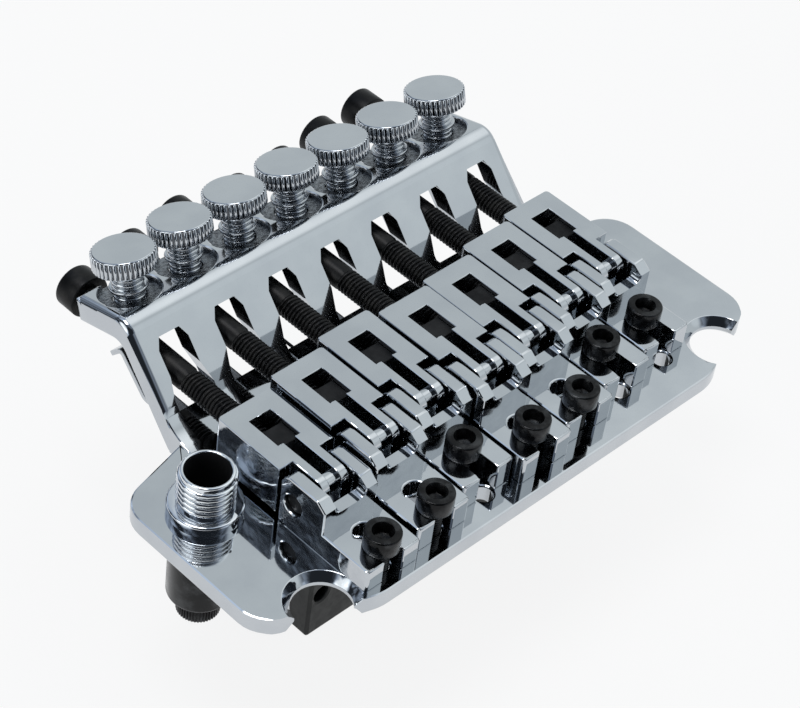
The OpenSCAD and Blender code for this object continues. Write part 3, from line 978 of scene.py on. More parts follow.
class RoundedCopy:
    """Rounds the outer edges of a CAD node's copy."""

    WELD = 0.0005 * MM  # vertices nearer to each other than this become one
    FLAT = math.radians(0.6)  # faces that meet at less than this become one
    SHARP = math.radians(24.0)  # an edge past this can be rounded
    ROOM = 2.2  # how many widths of the rounding a neighbour edge must measure
    ONWARD = 0.8  # how straight a shorter neighbour must run on to be let by

    def __init__(self, node: str) -> None:
        """Copies the node.

        Args:
            node: The CAD node's name.
        """
        form = bmesh.new()
        form.from_mesh(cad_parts[node].data)
        bmesh.ops.remove_doubles(form, verts=form.verts, dist=self.WELD)
        bmesh.ops.dissolve_limit(form, angle_limit=self.FLAT, verts=form.verts, edges=form.edges)
        self.form = form

    def _has_room(
        self, edge: bmesh.types.BMEdge, width: float, sharp: Set[bmesh.types.BMEdge]
    ) -> bool:
        """Tells whether the edges that meet a sharp edge are long enough for its rounding.

        Args:
            edge: The sharp edge.
            width: How wide the rounding is, in mm.
            sharp: All the sharp edges.

        Returns:
            Whether they are.
        """
        for vert in edge.verts:
            away = (edge.other_vert(vert).co - vert.co).normalized()
            for other in vert.link_edges:
                if other is edge or other.calc_length() > self.ROOM * width * MM:
                    continue
                onward = (vert.co - other.other_vert(vert).co).normalized()
                if other not in sharp or away.dot(onward) < self.ONWARD:
                    return False
        return True

    def round(
        self, width: float, segments: int = 2, where: EdgeTest = lambda edge: True
    ) -> "RoundedCopy":
        """Rounds the sharp outer edges that a test picks.

        Args:
            width: How wide the rounding is, in mm.
            segments: How many faces it has across.
            where: The test.

        Returns:
            The copy itself.
        """
        self.form.normal_update()
        sharp = {
            e
            for e in self.form.edges
            if len(e.link_faces) == 2 and e.is_convex and e.calc_face_angle(0.0) > self.SHARP
        }
        picked = [e for e in self.form.edges if e in sharp and where(e)]
        bmesh.ops.bevel(
            self.form,
            geom=[e for e in picked if self._has_room(e, width, sharp)],
            offset=width * MM,
            offset_type="OFFSET",
            segments=segments,
            profile=0.5,
            affect="EDGES",
            clamp_overlap=False,
            miter_outer="ARC" if segments > 2 else "SHARP",
            harden_normals=False,
        )
        return self

    def mesh(self) -> bpy.types.Mesh:
        """Gives the rounded mesh."""
        return drawn(self.form, "rounded")


def plain_piece(name: str, body: str, node: str, finish: Finish, edge: float) -> None:
    """Makes a piece of one finish from a node, with all its outer edges rounded alike.

    Args:
        name: The piece's name.
        body: The body that it rides on.
        node: The CAD node that it replaces.
        finish: Its finish.
        edge: How wide the rounding is, in mm.
    """
    piece = Piece(name, body, [node], [finish], level=True)
    piece.add(RoundedCopy(node).round(edge).mesh())
    piece.finish(COPIED_CREASE)


@dataclass
class BasePlate:
    """The plate with its tail wall and tuner shelf."""

    layout: Layout
    finish: ChromePlate = ChromePlate()
    edge: float = 0.3
    wall_edge: float = 1.2
    wall_half: float = 37.0
    wall_foot: float = 4.5
    window_half: float = 37.5
    window_low: float = 1.6
    window_high: float = 12.3
    notch_edge: float = 0.1
    notch_reach: float = 8.0
    seat_r: float = 4.9
    seat_low: float = -0.9
    seat_high: float = -0.3

    def build(self) -> None:
        """Makes the plate, and gives its round seats their cast floors, darkened as painted shade.
        """
        finishes = [self.finish, CastSeat()]
        piece = Piece("plate", Body.BRIDGE.value, ["base_plate"], finishes, level=True)
        copy = RoundedCopy("base_plate").round(self.wall_edge, 5, self._at_wall_end)
        copy.round(self.edge, where=self._is_outline).round(self.notch_edge, where=self._at_notch)
        piece.add(copy.mesh())
        piece.repaint(self._in_seat)
        piece.finish(COPIED_CREASE)

    def _in_seat(self, face: bmesh.types.BMFace) -> bool:
        """Picks the faces on the floors of the tuners' seats, which take the painted shade.

        Args:
            face: The face.

        Returns:
            Whether it lies in a seat.
        """
        middle = face.calc_center_median()
        for i in self.layout.strings():
            local = self.layout.at_tuner(i).inverted() @ middle / MM
            inside = math.hypot(local.x, local.y) < self.seat_r
            if inside and self.seat_low < local.z < self.seat_high:
                return True
        return False

    def _at_notch(self, edge: bmesh.types.BMEdge) -> bool:
        """Picks the edges around the two notches that rock on the studs."""
        spots = [Vector((abs(v.co.x) - self.layout.notch_x * MM, v.co.y)) for v in edge.verts]
        return min(spot.length for spot in spots) < self.notch_reach * MM

    def _is_outline(self, edge: bmesh.types.BMEdge) -> bool:
        """Picks the other edges, apart from those of the wall's windows.

        Args:
            edge: The edge.

        Returns:
            Whether it is picked.
        """
        middle = middle_of(edge) / MM
        beside = abs(middle.x) < self.window_half
        on_window = beside and self.window_low < middle.z < self.window_high
        return not on_window and not self._at_notch(edge)

    def _at_wall_end(self, edge: bmesh.types.BMEdge) -> bool:
        """Picks the edges between the front of the sloping wall and shelf and their two ends.

        Args:
            edge: The edge.

        Returns:
            Whether it is picked.
        """
        ends = [f for f in edge.link_faces if abs(f.normal.x) > FACING]
        fronts = [f for f in edge.link_faces if f.normal.z > 0.3 and abs(f.normal.x) < 0.1]
        half, foot = self.wall_half * MM, self.wall_foot * MM
        outer = all(abs(v.co.x) > half and v.co.z > foot for v in edge.verts)
        return len(ends) == 1 and len(fronts) == 1 and outer


@dataclass
class ScrewHead:
    """A cylinder head with a hex socket, in mm, that stands on the origin."""

    radius: float
    height: float
    hexagon: float
    rim: float
    mouth: float = 0.2
    foot: float = 0.2
    floor_share: float = 0.42

    def stations(self) -> List[Station]:
        """Gives the head's levels, from its outer lower edge to the middle of its socket.

        Returns:
            The levels.
        """
        flat = self.hexagon / 2
        corner = flat * HEX_CORNER
        floor = self.height * self.floor_share
        return [
            *arc(self.radius - self.foot, self.foot, self.foot, -90, 0, 2),
            *arc(self.radius - self.rim, self.height - self.rim, self.rim, 0, 90, 4),
            Station(corner + self.mouth, self.height),
            Station(corner + self.mouth - 0.05, self.height - 0.1),
            Station(flat, self.height - self.mouth * 4.5, True),
            Station(flat, floor, True),
            Station(flat * 0.8, floor - 0.05),
            Station(0.0, floor - 0.45),
        ]


@dataclass
class SaddleScrews:
    """The seven screws that hold the saddles."""

    layout: Layout
    trees: Trees
    finish: BlackOxide = BlackOxide(name="black_oxide_oiled", grit=0.06 * MM)
    front_hole_y: Tuple[float, ...] = (-4.5, -4.2, -4.2, -2.7, -2.7, -2.2, -1.5)
    row: Tuple[int, ...] = (0, 0, 1, 0, 0, 1, 1)
    row_gap: float = 5.05
    foot_h: float = 4.0
    lift: float = 0.02
    length: float = 8.0
    radius: float = 1.5
    pitch: float = 0.5
    turn: float = 37.0
    head: ScrewHead = field(default_factory=lambda: ScrewHead(2.75, 3.0, 2.5, rim=0.32))

    def build(self) -> None:
        """Makes the screws as one piece."""
        piece = Piece("saddle_screws", Body.BRIDGE.value, ["saddle_mount_screws"], [self.finish])
        thread = Thread(self.radius, self.pitch, -self.length, -0.4)
        shank = [*screw_end(thread.core, self.length, 0.2, 0.3), Station(thread.core, 0.0)]
        for i in self.layout.strings():
            k = i - 1
            y = self.front_hole_y[k] + self.row[k] * self.row_gap
            foot = self.layout.plate_top + self.foot_h
            top = foot + self.layout.saddle_rise[k] / 2 + self.lift
            spot = Vector((self.layout.x(i), y, top)) * MM
            spin = Matrix.Rotation(math.radians(self.turn * i), 4, "Z")
            place = Matrix.Translation(spot) @ spin
            piece.add(turned(shank + self.head.stations(), 48), place)
            piece.add(thread.mesh(self.trees.thread, self.finish), place)
        piece.finish()


@dataclass
class Saddles:
    """The seven saddles: bases, pins, string holders and lock blocks."""

    layout: Layout
    finish: ChromePlate = ChromePlate()
    foot_edge: float = 0.22
    holder_edge: float = 0.13
    block_edge: float = 0.15
    slot_edge: float = 0.45
    slot_r: float = 1.85
    slot_start: float = 4.5
    slot_step: float = 0.5
    slot_top: float = 0.75
    trough_reach: float = 2.2
    trough_floor: float = 0.55
    nose: float = 0.5
    pin_edge: float = 0.25
    pin_inset: float = 0.4

    def build(self) -> None:
        """Makes each saddle's pieces."""
        for i in self.layout.strings():
            foot = RoundedCopy(f"saddle_base_{i}").round(self.slot_edge, 4, self._foot_slot(i))
            foot.round(self.foot_edge, where=self._off_trough(i))
            self._dressed(f"saddle_foot_{i}", f"saddle_{i}", f"saddle_base_{i}", foot)
            holder = RoundedCopy(f"string_holder_{i}").round(self.holder_edge)
            self._dressed(f"holder_{i}", f"holder_{i}", f"string_holder_{i}", holder)
            plain_piece(
                f"clamp_block_{i}", f"block_{i}", f"lock_block_{i}", BareSteel(), self.block_edge
            )
            self._pin(i)

    def _off_trough(self, i: int) -> EdgeTest:
        """Gives the test that leaves out the trough between a saddle's ears.

        Args:
            i: The string's number.

        Returns:
            The test.
        """
        low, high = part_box(f"saddle_base_{i}")
        floor = low.z + self.trough_floor * (high.z - low.z)

        def off_trough(edge: bmesh.types.BMEdge) -> bool:
            """Tells whether an edge lies away from the trough.

            Args:
                edge: The edge.

            Returns:
                Whether it does.
            """
            middle = middle_of(edge)
            inside = abs(middle.x / MM - self.layout.x(i)) < self.trough_reach
            return not (inside and middle.z > floor)

        return off_trough

    def _foot_slot(self, i: int) -> EdgeTest:
        """Gives the test for the edge around the slot in a saddle's foot.

        Args:
            i: The string's number.

        Returns:
            The test.
        """
        low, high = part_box(f"saddle_base_{i}")
        start = low.y + self.slot_start * MM
        ceiling = low.z + self.slot_top * (high.z - low.z)

        def on_slot(edge: bmesh.types.BMEdge) -> bool:
            """Tells whether an edge runs around the slot at the foot's top.

            Args:
                edge: The edge.

            Returns:
                Whether it does.
            """
            middle = middle_of(edge)
            top = [f for f in edge.link_faces if f.normal.z > FACING]
            side = [f for f in edge.link_faces if abs(f.normal.z) < 0.3]
            inside = abs(middle.x / MM - self.layout.x(i)) < self.slot_r + 0.05
            inside = inside and middle.y > start and middle.z < ceiling
            short = edge.calc_length() < self.slot_step * MM
            return len(top) == 1 and len(side) == 1 and inside and short

        return on_slot

    def _dressed(self, name: str, body: str, node: str, copy: RoundedCopy) -> None:
        """Makes one chrome piece, with ground sides.

        Args:
            name: The piece's name.
            body: The body that it rides on.
            node: The CAD node that it replaces.
            copy: The node's rounded copy.
        """
        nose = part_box(node)[0].y + self.nose * MM

        def is_ground(face: bmesh.types.BMFace) -> bool:
            """Tells whether a face is a side, or a front face behind the nose."""
            behind = face.calc_center_median().y > nose
            return abs(face.normal.x) > FACING or (face.normal.y < -FACING and behind)

        piece = Piece(name, body, [node], [self.finish, GroundChrome()], level=True)
        piece.add(copy.mesh())
        piece.repaint(is_ground)
        piece.finish(COPIED_CREASE)

    def _pin(self, i: int) -> None:
        """Makes one pivot pin, with slightly domed ends.

        Args:
            i: The string's number.
        """
        low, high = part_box(f"pivot_pin_{i}")
        half = (high.x - low.x) / 2 / MM
        radius = (high.z - low.z) / 2 / MM
        edge = self.pin_edge
        end = [Station(0.0, half), Station(radius * 0.6, half - 0.06)]
        end += arc(radius - edge, half - self.pin_inset, edge, 75, 0, 3)
        levels = end + [Station(s.radius, -s.height) for s in reversed(end)]
        place = Matrix.Translation((low + high) / 2) @ Matrix.Rotation(math.pi / 2, 4, "Y")
        piece = Piece(f"pin_{i}", f"saddle_{i}", [f"pivot_pin_{i}"], [BareSteel()])
        piece.add(turned(levels, 32), place)
        piece.finish()


@dataclass
class LockScrews:
    """The seven long screws that press the lock blocks onto the strings."""

    layout: Layout
    trees: Trees
    finish: BlackOxide = BlackOxide(
        name="black_oxide_dull", worn=(0.026, 0.025, 0.024), roughness=0.33
    )
    length: float = 40.0
    tip: float = 5.58
    threaded: float = 17.5
    pitch: float = 0.7
    turn: float = 23.0
    head: ScrewHead = field(default_factory=lambda: ScrewHead(3.5, 4.0, 3.0, rim=0.4))

    def build(self) -> None:
        """Makes one piece for each screw."""
        radius = self.layout.lock_screw_r
        thread = Thread(radius, self.pitch, -self.length, self.threaded - self.length)
        shank = [
            *screw_end(thread.core, self.length, 0.3, 0.4),
            Station(thread.core, thread.stop - 0.3),
            Station(radius, thread.stop + 0.2),
            Station(radius, 0.0),
        ]
        for i in self.layout.strings():
            y = self.layout.saddle_rear[i - 1] + self.length - self.tip
            spot = Vector((self.layout.x(i), y, self.layout.pin_z(i))) * MM
            place = Matrix.Translation(spot) @ Matrix.Rotation(-math.pi / 2, 4, "X")
            place = place @ Matrix.Rotation(math.radians(self.turn * i), 4, "Z")
            piece = Piece(f"string_screw_{i}", f"screw_{i}", [f"lock_screw_{i}"], [self.finish])
            piece.add(turned(shank + self.head.stations(), 48), place)
            piece.add(thread.mesh(self.trees.thread, self.finish), place)
            piece.finish()


@dataclass
class FineTuners:
    """The seven fine tuners with their knurled heads."""

    layout: Layout
    trees: Trees
    finish: ChromePlate = ChromePlate()
    depth: Tuple[float, ...] = (0.58, 0.09, 0.13, 0.0, 0.26, 0.7, 0.33)
    head_r: float = 4.97
    head_t: float = 3.0
    head_h: float = 7.66
    head_rim: float = 0.28
    shank_r: float = 2.5
    pitch: float = 0.8
    ring_r: float = 2.95
    ring_t: float = 0.6
    ring_h: float = 1.9
    edge: float = 0.15
    seat_depth: float = 0.8
    tip_r: float = 1.2
    tip_l: float = 1.0
    tip_gap: float = 0.2
    ribs: int = 40
    rib_r: float = 0.29
    rib_shown: float = 0.24
    rib_margin: float = 0.12
    turn: float = 17.0
    # The colour of the head's side between the ribs: painted shade for the gaps between them.
    groove: Colour = (0.10, 0.105, 0.115)

    def build(self) -> None:
        """Makes one piece for each tuner."""
        # The side between the ribs takes a dark chrome, as painted shade in the gaps.
        grooves = ChromePlate(name="grooves", light=self.groove, dim=self.groove)
        finishes = [self.finish, grooves]
        for i in self.layout.strings():
            low = self.head_h - self.depth[i - 1] - self.head_t
            tip = self._tip(i)
            thread = Thread(self.shank_r, self.pitch, tip + self.tip_l, low + 0.3)
            knurl = Knurl(self.ribs, self.head_r, self.rib_r, low, self.head_t, self.rib_margin)
            place = self.layout.at_tuner(i) @ Matrix.Rotation(math.radians(self.turn * i), 4, "Z")
            piece = Piece(f"tuner_{i}", f"tuner_{i}", [f"fine_tuner_{i}"], finishes, level=True)
            piece.add(turned(self._levels(i, thread.core), 72), place)
            # The head's side between the ribs gets the painted shade.
            piece.repaint(self._between_ribs(place))
            piece.add(thread.mesh(self.trees.thread, self.finish), place)
            piece.add(knurl.mesh(self.trees.knurl, self.finish), place @ knurl.middle)
            piece.finish()

    def _tip(self, i: int) -> float:
        """Gives the height of a tuner's tip along its axis.

        Args:
            i: The string's number.

        Returns:
            The height, in mm.
        """
        tilt = math.radians(self.layout.tuner_tilt)
        screw_top = self.layout.pin_z(i) + self.layout.lock_screw_r
        height = screw_top + self.tip_gap + self.tip_r * math.sin(tilt) - self.layout.shelf_z
        return height / math.cos(tilt)

    def _levels(self, i: int, core: float) -> List[Station]:
        """Gives a tuner's levels, from its tip to the middle of its head.

        Args:
            i: The string's number.
            core: The radius between the thread's ridges.

        Returns:
            The levels.
        """
        tip = self._tip(i)
        ring = self.ring_h - self.seat_depth - self.depth[i - 1]
        top = self.head_h - self.depth[i - 1]
        low = top - self.head_t
        edge, rim = self.edge, self.head_rim
        side = self.head_r - self.rib_shown - rim
        return [
            Station(0.0, tip),
            *arc(self.tip_r - edge, tip + edge, edge, -90, -30, 2),
            Station(core, tip + self.tip_l),
            Station(core, ring),
            *arc(self.ring_r - edge, ring + edge, edge, -90, 0, 2),
            *arc(self.ring_r - edge, ring + self.ring_t - edge, edge, 0, 90, 2),
            Station(core, ring + self.ring_t),
            Station(core, low),
            *arc(side, low + rim, rim, -90, 0, 3),
            *arc(side, top - rim, rim, 0, 90, 4),
            Station(0.0, top),
        ]

    def _between_ribs(self, place: Matrix) -> FaceTest:
        """Gives the test for the side of a tuner's head, which shows between its ribs and takes the
        painted shade.

        Args:
            place: The tuner's place.

        Returns:
            The test.
        """
        axis = place.to_3x3() @ Vector((0.0, 0.0, 1.0))
        least = self.head_r - self.rib_shown - 0.1

        def between_ribs(face: bmesh.types.BMFace) -> bool:
            """Tells whether a face belongs to the head's side."""
            local = place.inverted() @ face.calc_center_median() / MM
            return abs(face.normal.dot(axis)) < 0.1 and local.to_2d().length > least

        return between_ribs


@dataclass
class ArmSocket:
    """The arm's threaded tube, the sleeve under the plate, and the tension screw."""

    layout: Layout
    trees: Trees
    # Brighter than the plate's chrome: a painted highlight, so that the tube and its thread look
    # whiter.
    finish: ChromePlate = ChromePlate(
        name="socket_chrome_painted_highlight", light=(0.80, 0.83, 0.86), dim=(0.70, 0.73, 0.77)
    )
    dark: BlackOxide = BlackOxide()
    bushing: Bushing = Bushing()
    radius: float = 4.4
    bore: float = 3.4
    height: float = 8.0
    below: float = 6.0
    lip: float = 0.2
    flange_r: float = 5.65
    flange_t: float = 1.8
    flange_edge: float = 0.4
    pitch: float = 0.95
    sleeve_r: float = 4.95
    sleeve_l: float = 14.0
    sleeve_edge: float = 0.6
    knurl_r: float = 3.35
    knurl_l: float = 4.0
    knurl_edge: float = 0.3
    ribs: int = 44
    rib_r: float = 0.2
    rib_margin: float = 0.15
    screw_r: float = 2.0

    def build(self) -> None:
        """Makes the three pieces."""
        self._tube()
        self._sleeve()
        self._tension_screw()

    def _tube(self) -> None:
        """Makes the threaded tube with its flange."""
        low = -self.layout.plate_top - self.below
        top = self.layout.plate_top
        flange = top + self.flange_t
        end = top + self.height
        edge, lip = self.flange_edge, self.lip
        thread = Thread(self.radius, self.pitch, flange + 0.2, end - 0.2)
        levels = [
            Station(self.bore, low),
            Station(self.radius, low),
            Station(self.radius, top),
            Station(self.flange_r - 0.1, top),
            *arc(self.flange_r - edge, flange - edge, edge, 0, 90, 4),
            Station(thread.core, flange),
            Station(thread.core, end - 0.5),
            *arc(thread.core - 0.25, end - 0.25, 0.25, 0, 90, 3),
            *arc(self.bore + lip, end - lip, lip, 90, 180, 3),
            Station(self.bore, end - 0.9),
            Station(self.bore, low),
        ]
        place = self.layout.at_socket()
        piece = Piece("arm_tube", Body.BRIDGE.value, ["arm_socket"], [self.finish, self.bushing])
        piece.add(turned(levels, 72), place)
        piece.repaint(self._in_bore)
        piece.add(thread.mesh(self.trees.thread, self.finish), place)
        piece.finish()

    def _in_bore(self, face: bmesh.types.BMFace) -> bool:
        """Picks the faces that line the arm's bore.

        Args:
            face: The face.

        Returns:
            Whether it lies in the bore.
        """
        local = self.layout.at_socket().inverted() @ face.calc_center_median() / MM
        lined = self.layout.plate_top + self.height - 0.4
        return math.hypot(local.x, local.y) < self.bore + 0.02 and local.z < lined

    def _sleeve(self) -> None:
        """Makes the dark sleeve under the plate."""
        top = -self.layout.plate_top
        low = top - self.sleeve_l
        step = top - self.below - 1.0
        inner, outer = self.screw_r + 0.05, self.radius + 0.01
        edge = self.sleeve_edge
        levels = [
            Station(inner, low),
            *arc(self.sleeve_r - edge, low + edge, edge, -90, 0, 4),
            Station(self.sleeve_r, top),
            Station(outer, top),
            Station(outer, step),
            Station(inner, step),
            Station(inner, low),
        ]
        piece = Piece("socket_sleeve", Body.BRIDGE.value, ["arm_socket_sleeve"], [self.dark])
        piece.add(turned(levels, 64), self.layout.at_socket())
        piece.finish()

    def _tension_screw(self) -> None:
        """Makes the tension screw with its knurled end."""
        low = -self.layout.plate_top - self.sleeve_l - self.knurl_l
        high = low + self.knurl_l - 0.02
        tip = -self.layout.plate_top - self.below
        core = self.knurl_r - self.rib_r
        edge = self.knurl_edge
        levels = [
            Station(0.0, low + 0.25),
            Station(core * 0.35, low + 0.25),
            Station(core * 0.45, low),
            *arc(core - edge, low + edge, edge, -90, 0, 3),
            Station(core, high),
            Station(self.screw_r, high),
            Station(self.screw_r, tip - 0.3),
            Station(self.screw_r - 0.3, tip),
            Station(0.0, tip),
        ]
        place = self.layout.at_socket()
        knurl = Knurl(self.ribs, self.knurl_r, self.rib_r, low, self.knurl_l, self.rib_margin)
        piece = Piece("tension_knob", Body.TENSION_SCREW.value, ["arm_tension_screw"], [self.dark])
        piece.add(turned(levels, 48), place)
        piece.add(knurl.mesh(self.trees.knurl, self.dark), place @ knurl.middle)
        piece.finish()


@dataclass
class Underside:
    """The sustain block with its screws, and the leaf spring with its screws."""

    layout: Layout
    dark: BlackOxide = BlackOxide()
    spring: ChromePlate = ChromePlate(name="spring_plate", roughness=0.16)
    block_edge: float = 0.5
    block_y: float = 18.0
    block_pitch: float = 21.4
    block_screw_r: float = 2.0
    block_head_r: float = 3.6
    block_screw_l: float = 14.0
    block_hex: float = 2.5
    leaf_y: float = 29.4
    leaf_pitch: float = 26.0
    leaf_t: float = 0.8
    leaf_end: float = 33.1
    leaf_edge: float = 0.12
    leaf_give: float = 0.98
    leaf_screw_r: float = 1.25
    leaf_screw_l: float = 2.9
    leaf_head: ScrewHead = field(
        default_factory=lambda: ScrewHead(2.25, 1.3, 1.5, rim=0.4, mouth=0.12)
    )
    tuner_travel: Tuple[float, ...] = (1.5, 1.6, 1.6, 1.7, 1.5, 1.5, 1.5)

    def build(self) -> None:
        """Makes the block, its screws, the leaf spring and its screws."""
        plain_piece("block", Body.BRIDGE.value, "sustain_block", BlockCoating(), self.block_edge)
        self._block_screws()
        self._leaf_spring()
        self._leaf_screws()

    def _leaf_spring(self) -> None:
        """Makes the leaf spring as a strip and its fingers.

        Each finger is a piece of its own, at its own lock screw.
        """
        whole = RoundedCopy("leaf_spring").round(self.leaf_edge).mesh()
        strip = Piece("spring", Body.BRIDGE.value, ["leaf_spring"], [self.spring], level=True)
        strip.add(self._cut(whole))
        strip.finish(COPIED_CREASE)
        for i in self.layout.strings():
            name = f"spring_finger_{i}"
            finger = Piece(name, Body.BRIDGE.value, ["leaf_spring"], [self.spring], level=True)
            finger.add(self._cut(whole, i))
            made = finger.finish(COPIED_CREASE)
            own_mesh(made)
        bpy.data.meshes.remove(whole)

    def _cut(self, whole: bpy.types.Mesh, i: int = 0) -> bpy.types.Mesh:
        """Cuts one part out of the leaf spring.

        Args:
            whole: The whole spring.
            i: The finger's string, or 0 for the strip.

        Returns:
            The part, closed where it was cut.
        """
        form = bmesh.new()
        form.from_mesh(whole)
        end = self.leaf_end * MM
        if i:
            near, reach = self.layout.x(i) * MM, self.leaf_t * 4 * MM
            others = [v for v in form.verts if v.co.y > end and abs(v.co.x - near) > reach]
            bmesh.ops.delete(form, geom=others, context="VERTS")
        bmesh.ops.bisect_plane(
            form,
            geom=[*form.verts, *form.edges, *form.faces],
            plane_co=(0.0, end, 0.0),
            plane_no=(0.0, -1.0 if i else 1.0, 0.0),
            clear_outer=True,
        )
        rim = [edge for edge in form.edges if edge.is_boundary]
        bmesh.ops.edgeloop_fill(form, edges=rim)
        bmesh.ops.recalc_face_normals(form, faces=form.faces)
        return drawn(form, "cut")

    def _block_screws(self) -> None:
        """Makes the countersunk screws that hold the block."""
        flat = self.block_hex / 2
        levels = [
            *screw_end(self.block_screw_r, self.block_screw_l, 0.3, 0.3),
            Station(self.block_screw_r, self.block_screw_r - self.block_head_r),
            Station(self.block_head_r - 0.1, -0.1),
            Station(self.block_head_r - 0.2, 0.0),
            Station(flat + 0.45, 0.0),
            Station(flat, -0.2, True),
            Station(flat, -1.2, True),
            Station(0.0, -1.4),
        ]
        piece = Piece("block_bolts", Body.BRIDGE.value, ["block_screws"], [self.dark])
        for side in (-1, 0, 1):
            spot = Vector((side * self.block_pitch, self.block_y, self.layout.plate_top - 0.05))
            piece.add(turned(levels, 48), Matrix.Translation(spot * MM))
        piece.finish()

    def _leaf_screws(self) -> None:
        """Makes the small screws that hold the spring."""
        radius = self.leaf_screw_r
        shank = [*screw_end(radius, self.leaf_screw_l, 0.3, 0.3), Station(radius, 0.0)]
        levels = shank + self.leaf_head.stations()
        down = Matrix.Rotation(math.pi, 4, "X")
        piece = Piece("spring_bolts", Body.BRIDGE.value, ["leaf_spring_screws"], [self.dark])
        for side in (-1, 0, 1):
            z = -self.layout.plate_top - self.leaf_t
            spot = Vector((side * self.leaf_pitch, self.leaf_y, z)) * MM
            piece.add(turned(levels, 36), Matrix.Translation(spot) @ down)
        piece.finish()


# Studio


@dataclass
class Softbox:
    """A square lamp that looks at the object."""

    name: str
    spot: Place
    size: float
    watts: float
    target: Place = (0.0, 0.02, 0.0)

    def build(self) -> None:
        """Makes the lamp."""
        lamp = bpy.data.lights.new(self.name, "AREA")
        lamp.shape = "SQUARE"
        lamp.size = self.size
        lamp.energy = self.watts
        turn = (Vector(self.target) - Vector(self.spot)).to_track_quat("-Z", "Y")
        made = put(self.name, lamp)
        made.matrix_world = Matrix.Translation(self.spot) @ turn.to_matrix().to_4x4()


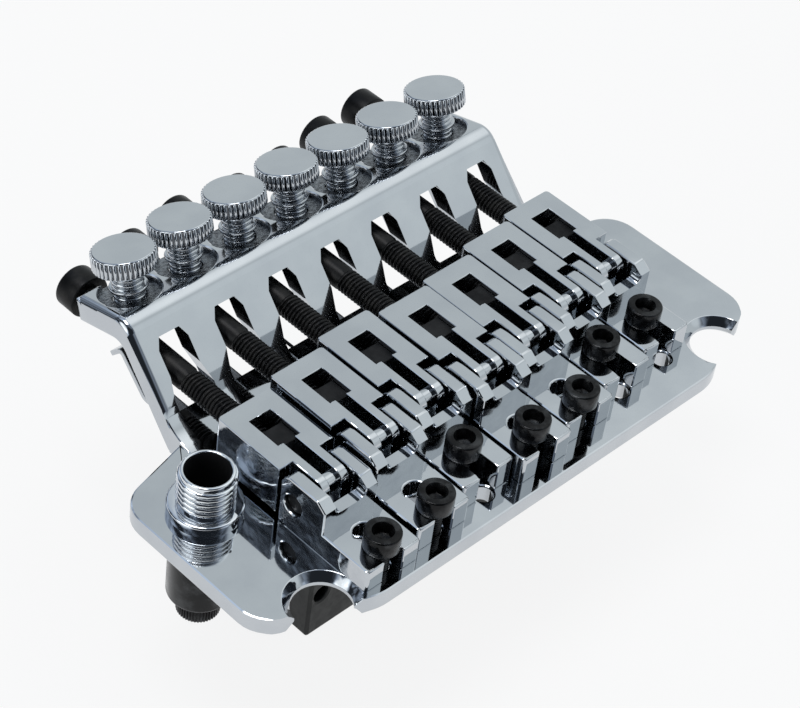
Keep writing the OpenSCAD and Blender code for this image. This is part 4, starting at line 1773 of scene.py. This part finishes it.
@dataclass
class Studio:
    """The camera, the floor, the lamp and the world around the object."""

    spot: Place = (-0.20586, -0.14839, 0.24878)
    azimuth: float = -50.06
    elevation: float = 42.58
    roll: float = 8.26
    lens: float = 107.83
    sensor: float = 36.0
    floor_z: float = -31.6 * MM
    floor_size: float = 4.0
    floor_seen: float = 0.87
    floor_mirrored: float = 0.6
    backdrop: Colour = (0.92, 0.925, 0.93)
    lamp: Softbox = field(
        default_factory=lambda: Softbox("overhead_box", (-0.14, 0.08, 0.66), 0.26, 1.3)
    )

    def build(self) -> None:
        """Makes the studio."""
        self._camera()
        self._floor()
        self._world()
        self.lamp.build()
        bpy.context.scene.view_settings.view_transform = "Standard"

    def _camera(self) -> None:
        """Places the camera where the photograph was taken."""
        a, e, r = (math.radians(v) for v in (self.azimuth, self.elevation, self.roll))
        ahead = Vector((-math.sin(a) * math.cos(e), math.cos(a) * math.cos(e), -math.sin(e)))
        right = Vector((math.cos(a), math.sin(a), 0.0))
        up = Vector((-math.sin(a) * math.sin(e), math.cos(a) * math.sin(e), math.cos(e)))
        across = right * math.cos(r) + up * math.sin(r)
        upward = up * math.cos(r) - right * math.sin(r)
        lens = bpy.data.cameras.new("camera")
        lens.lens = self.lens
        lens.sensor_fit = "HORIZONTAL"
        lens.sensor_width = self.sensor
        lens.clip_start = 0.01
        made = put("camera", lens)
        turn = Matrix((across, upward, -ahead)).transposed().to_4x4()
        made.matrix_world = Matrix.Translation(self.spot) @ turn
        bpy.context.scene.camera = made

    def _floor(self) -> None:
        """Lays the pale floor."""
        material, bench = new_material("floor_paint")
        path = bench.node("ShaderNodeLightPath").outputs
        mirrored = Wire(bench, path["Is Glossy Ray"]) + Wire(bench, path["Is Transmission Ray"])
        seen = Wire(bench, path["Is Camera Ray"])
        share = seen * self.floor_seen + mirrored * self.floor_mirrored
        paint = bench.node("ShaderNodeBsdfDiffuse", {}, {"Color": (0.9, 0.9, 0.9, 1.0)})
        white = {"Color": (1.0, 1.0, 1.0, 1.0), "Strength": 1.0}
        glow = bench.node("ShaderNodeEmission", {}, white)
        parts = {0: share, 1: paint.outputs[0], 2: glow.outputs[0]}
        mixed = bench.node("ShaderNodeMixShader", {}, parts)
        bench.node("ShaderNodeOutputMaterial", {}, {"Surface": mixed.outputs[0]})
        half = self.floor_size / 2
        corners = [(-half, -half), (half, -half), (half, half), (-half, half)]
        mesh = bpy.data.meshes.new("floor")
        mesh.from_pydata([(x, y, self.floor_z) for x, y in corners], [], [(0, 1, 2, 3)])
        mesh.materials.append(material)
        put("floor", mesh)

    def _world(self) -> None:
        """Sets the sky: broad grey-blue light on the right, and a dim room with soft patches."""
        world = bpy.data.worlds.new("studio")
        bpy.context.scene.world = world
        world.use_nodes = True
        bench = Shading(world.node_tree)
        way = Wire(bench, bench.node("ShaderNodeTexCoord").outputs["Generated"])
        parts = bench.node("ShaderNodeSeparateXYZ", {}, {0: way}).outputs
        broad = Wire(bench, parts["X"]).over(0.15, 0.5)
        zenith = Wire(bench, parts["Z"]).over(0.8, 1.0)
        glow = self._patch(way, (0.564, 0.05, 0.826), 0.90, 0.995)
        front = self._patch(way, (0.56, -0.60, 0.57), 0.95, 0.995)
        window = self._patch(way, (-0.92, 0.12, 0.36), 0.90, 0.96)
        viewer = self._patch(way, (-0.45, -0.70, 0.55), 0.70, 0.92)
        roof = self._patch(way, (0.05, 0.58, 0.81), 0.84, 0.97)
        cloud = bench.noise(way, 2.6, 3.0, 0.55).over(0.42, 0.66)
        room = (1 - broad) * ((1 - viewer) * cloud * 0.7 + roof * 0.4)
        level = room + broad * 0.68 + glow * 0.42 + front * 0.14 + window * 1.3
        level = level + zenith * 0.25 + 0.03
        tint = bench.blend(broad, (0.70, 0.82, 1.0), (0.90, 0.97, 1.0))
        sky = bench.blend(glow + window, tint, (0.95, 0.99, 1.0))
        seen = bench.node("ShaderNodeLightPath").outputs["Is Camera Ray"]
        plain = {"Color": (*self.backdrop, 1.0), "Strength": 1.0}
        shown = bench.node("ShaderNodeBackground", {}, plain)
        lit = bench.node("ShaderNodeBackground", {}, {"Color": sky, "Strength": level})
        layers = {0: seen, 1: lit.outputs[0], 2: shown.outputs[0]}
        mixed = bench.node("ShaderNodeMixShader", {}, layers)
        bench.node("ShaderNodeOutputWorld", {}, {"Surface": mixed.outputs[0]})

    @staticmethod
    def _patch(way: Wire, middle: Place, low: float, high: float) -> Wire:
        """Gives a soft round patch of sky.

        Args:
            way: The direction that is looked at.
            middle: The patch's middle.
            low: The closeness at which it starts.
            high: The closeness at which it is full.

        Returns:
            How much of the patch shows.
        """
        sockets = {0: way, 1: tuple(Vector(middle).normalized())}
        near = way.bench.node("ShaderNodeVectorMath", {"operation": "DOT_PRODUCT"}, sockets)
        return Wire(way.bench, near.outputs["Value"]).over(low, high)


def main() -> None:
    """Builds the object's sub-assemblies and the studio, in order."""
    logging.basicConfig(level=logging.INFO, format="%(name)s: %(message)s")
    layout = Layout()
    trees = Trees()
    for part in (
        BasePlate(layout),
        SaddleScrews(layout, trees),
        Saddles(layout),
        LockScrews(layout, trees),
        FineTuners(layout, trees),
        ArmSocket(layout, trees),
        Underside(layout),
        Studio(),
    ):
        part.build()
        LOG.info("%s is done", type(part).__name__)


if __name__ == "__main__":
    main()
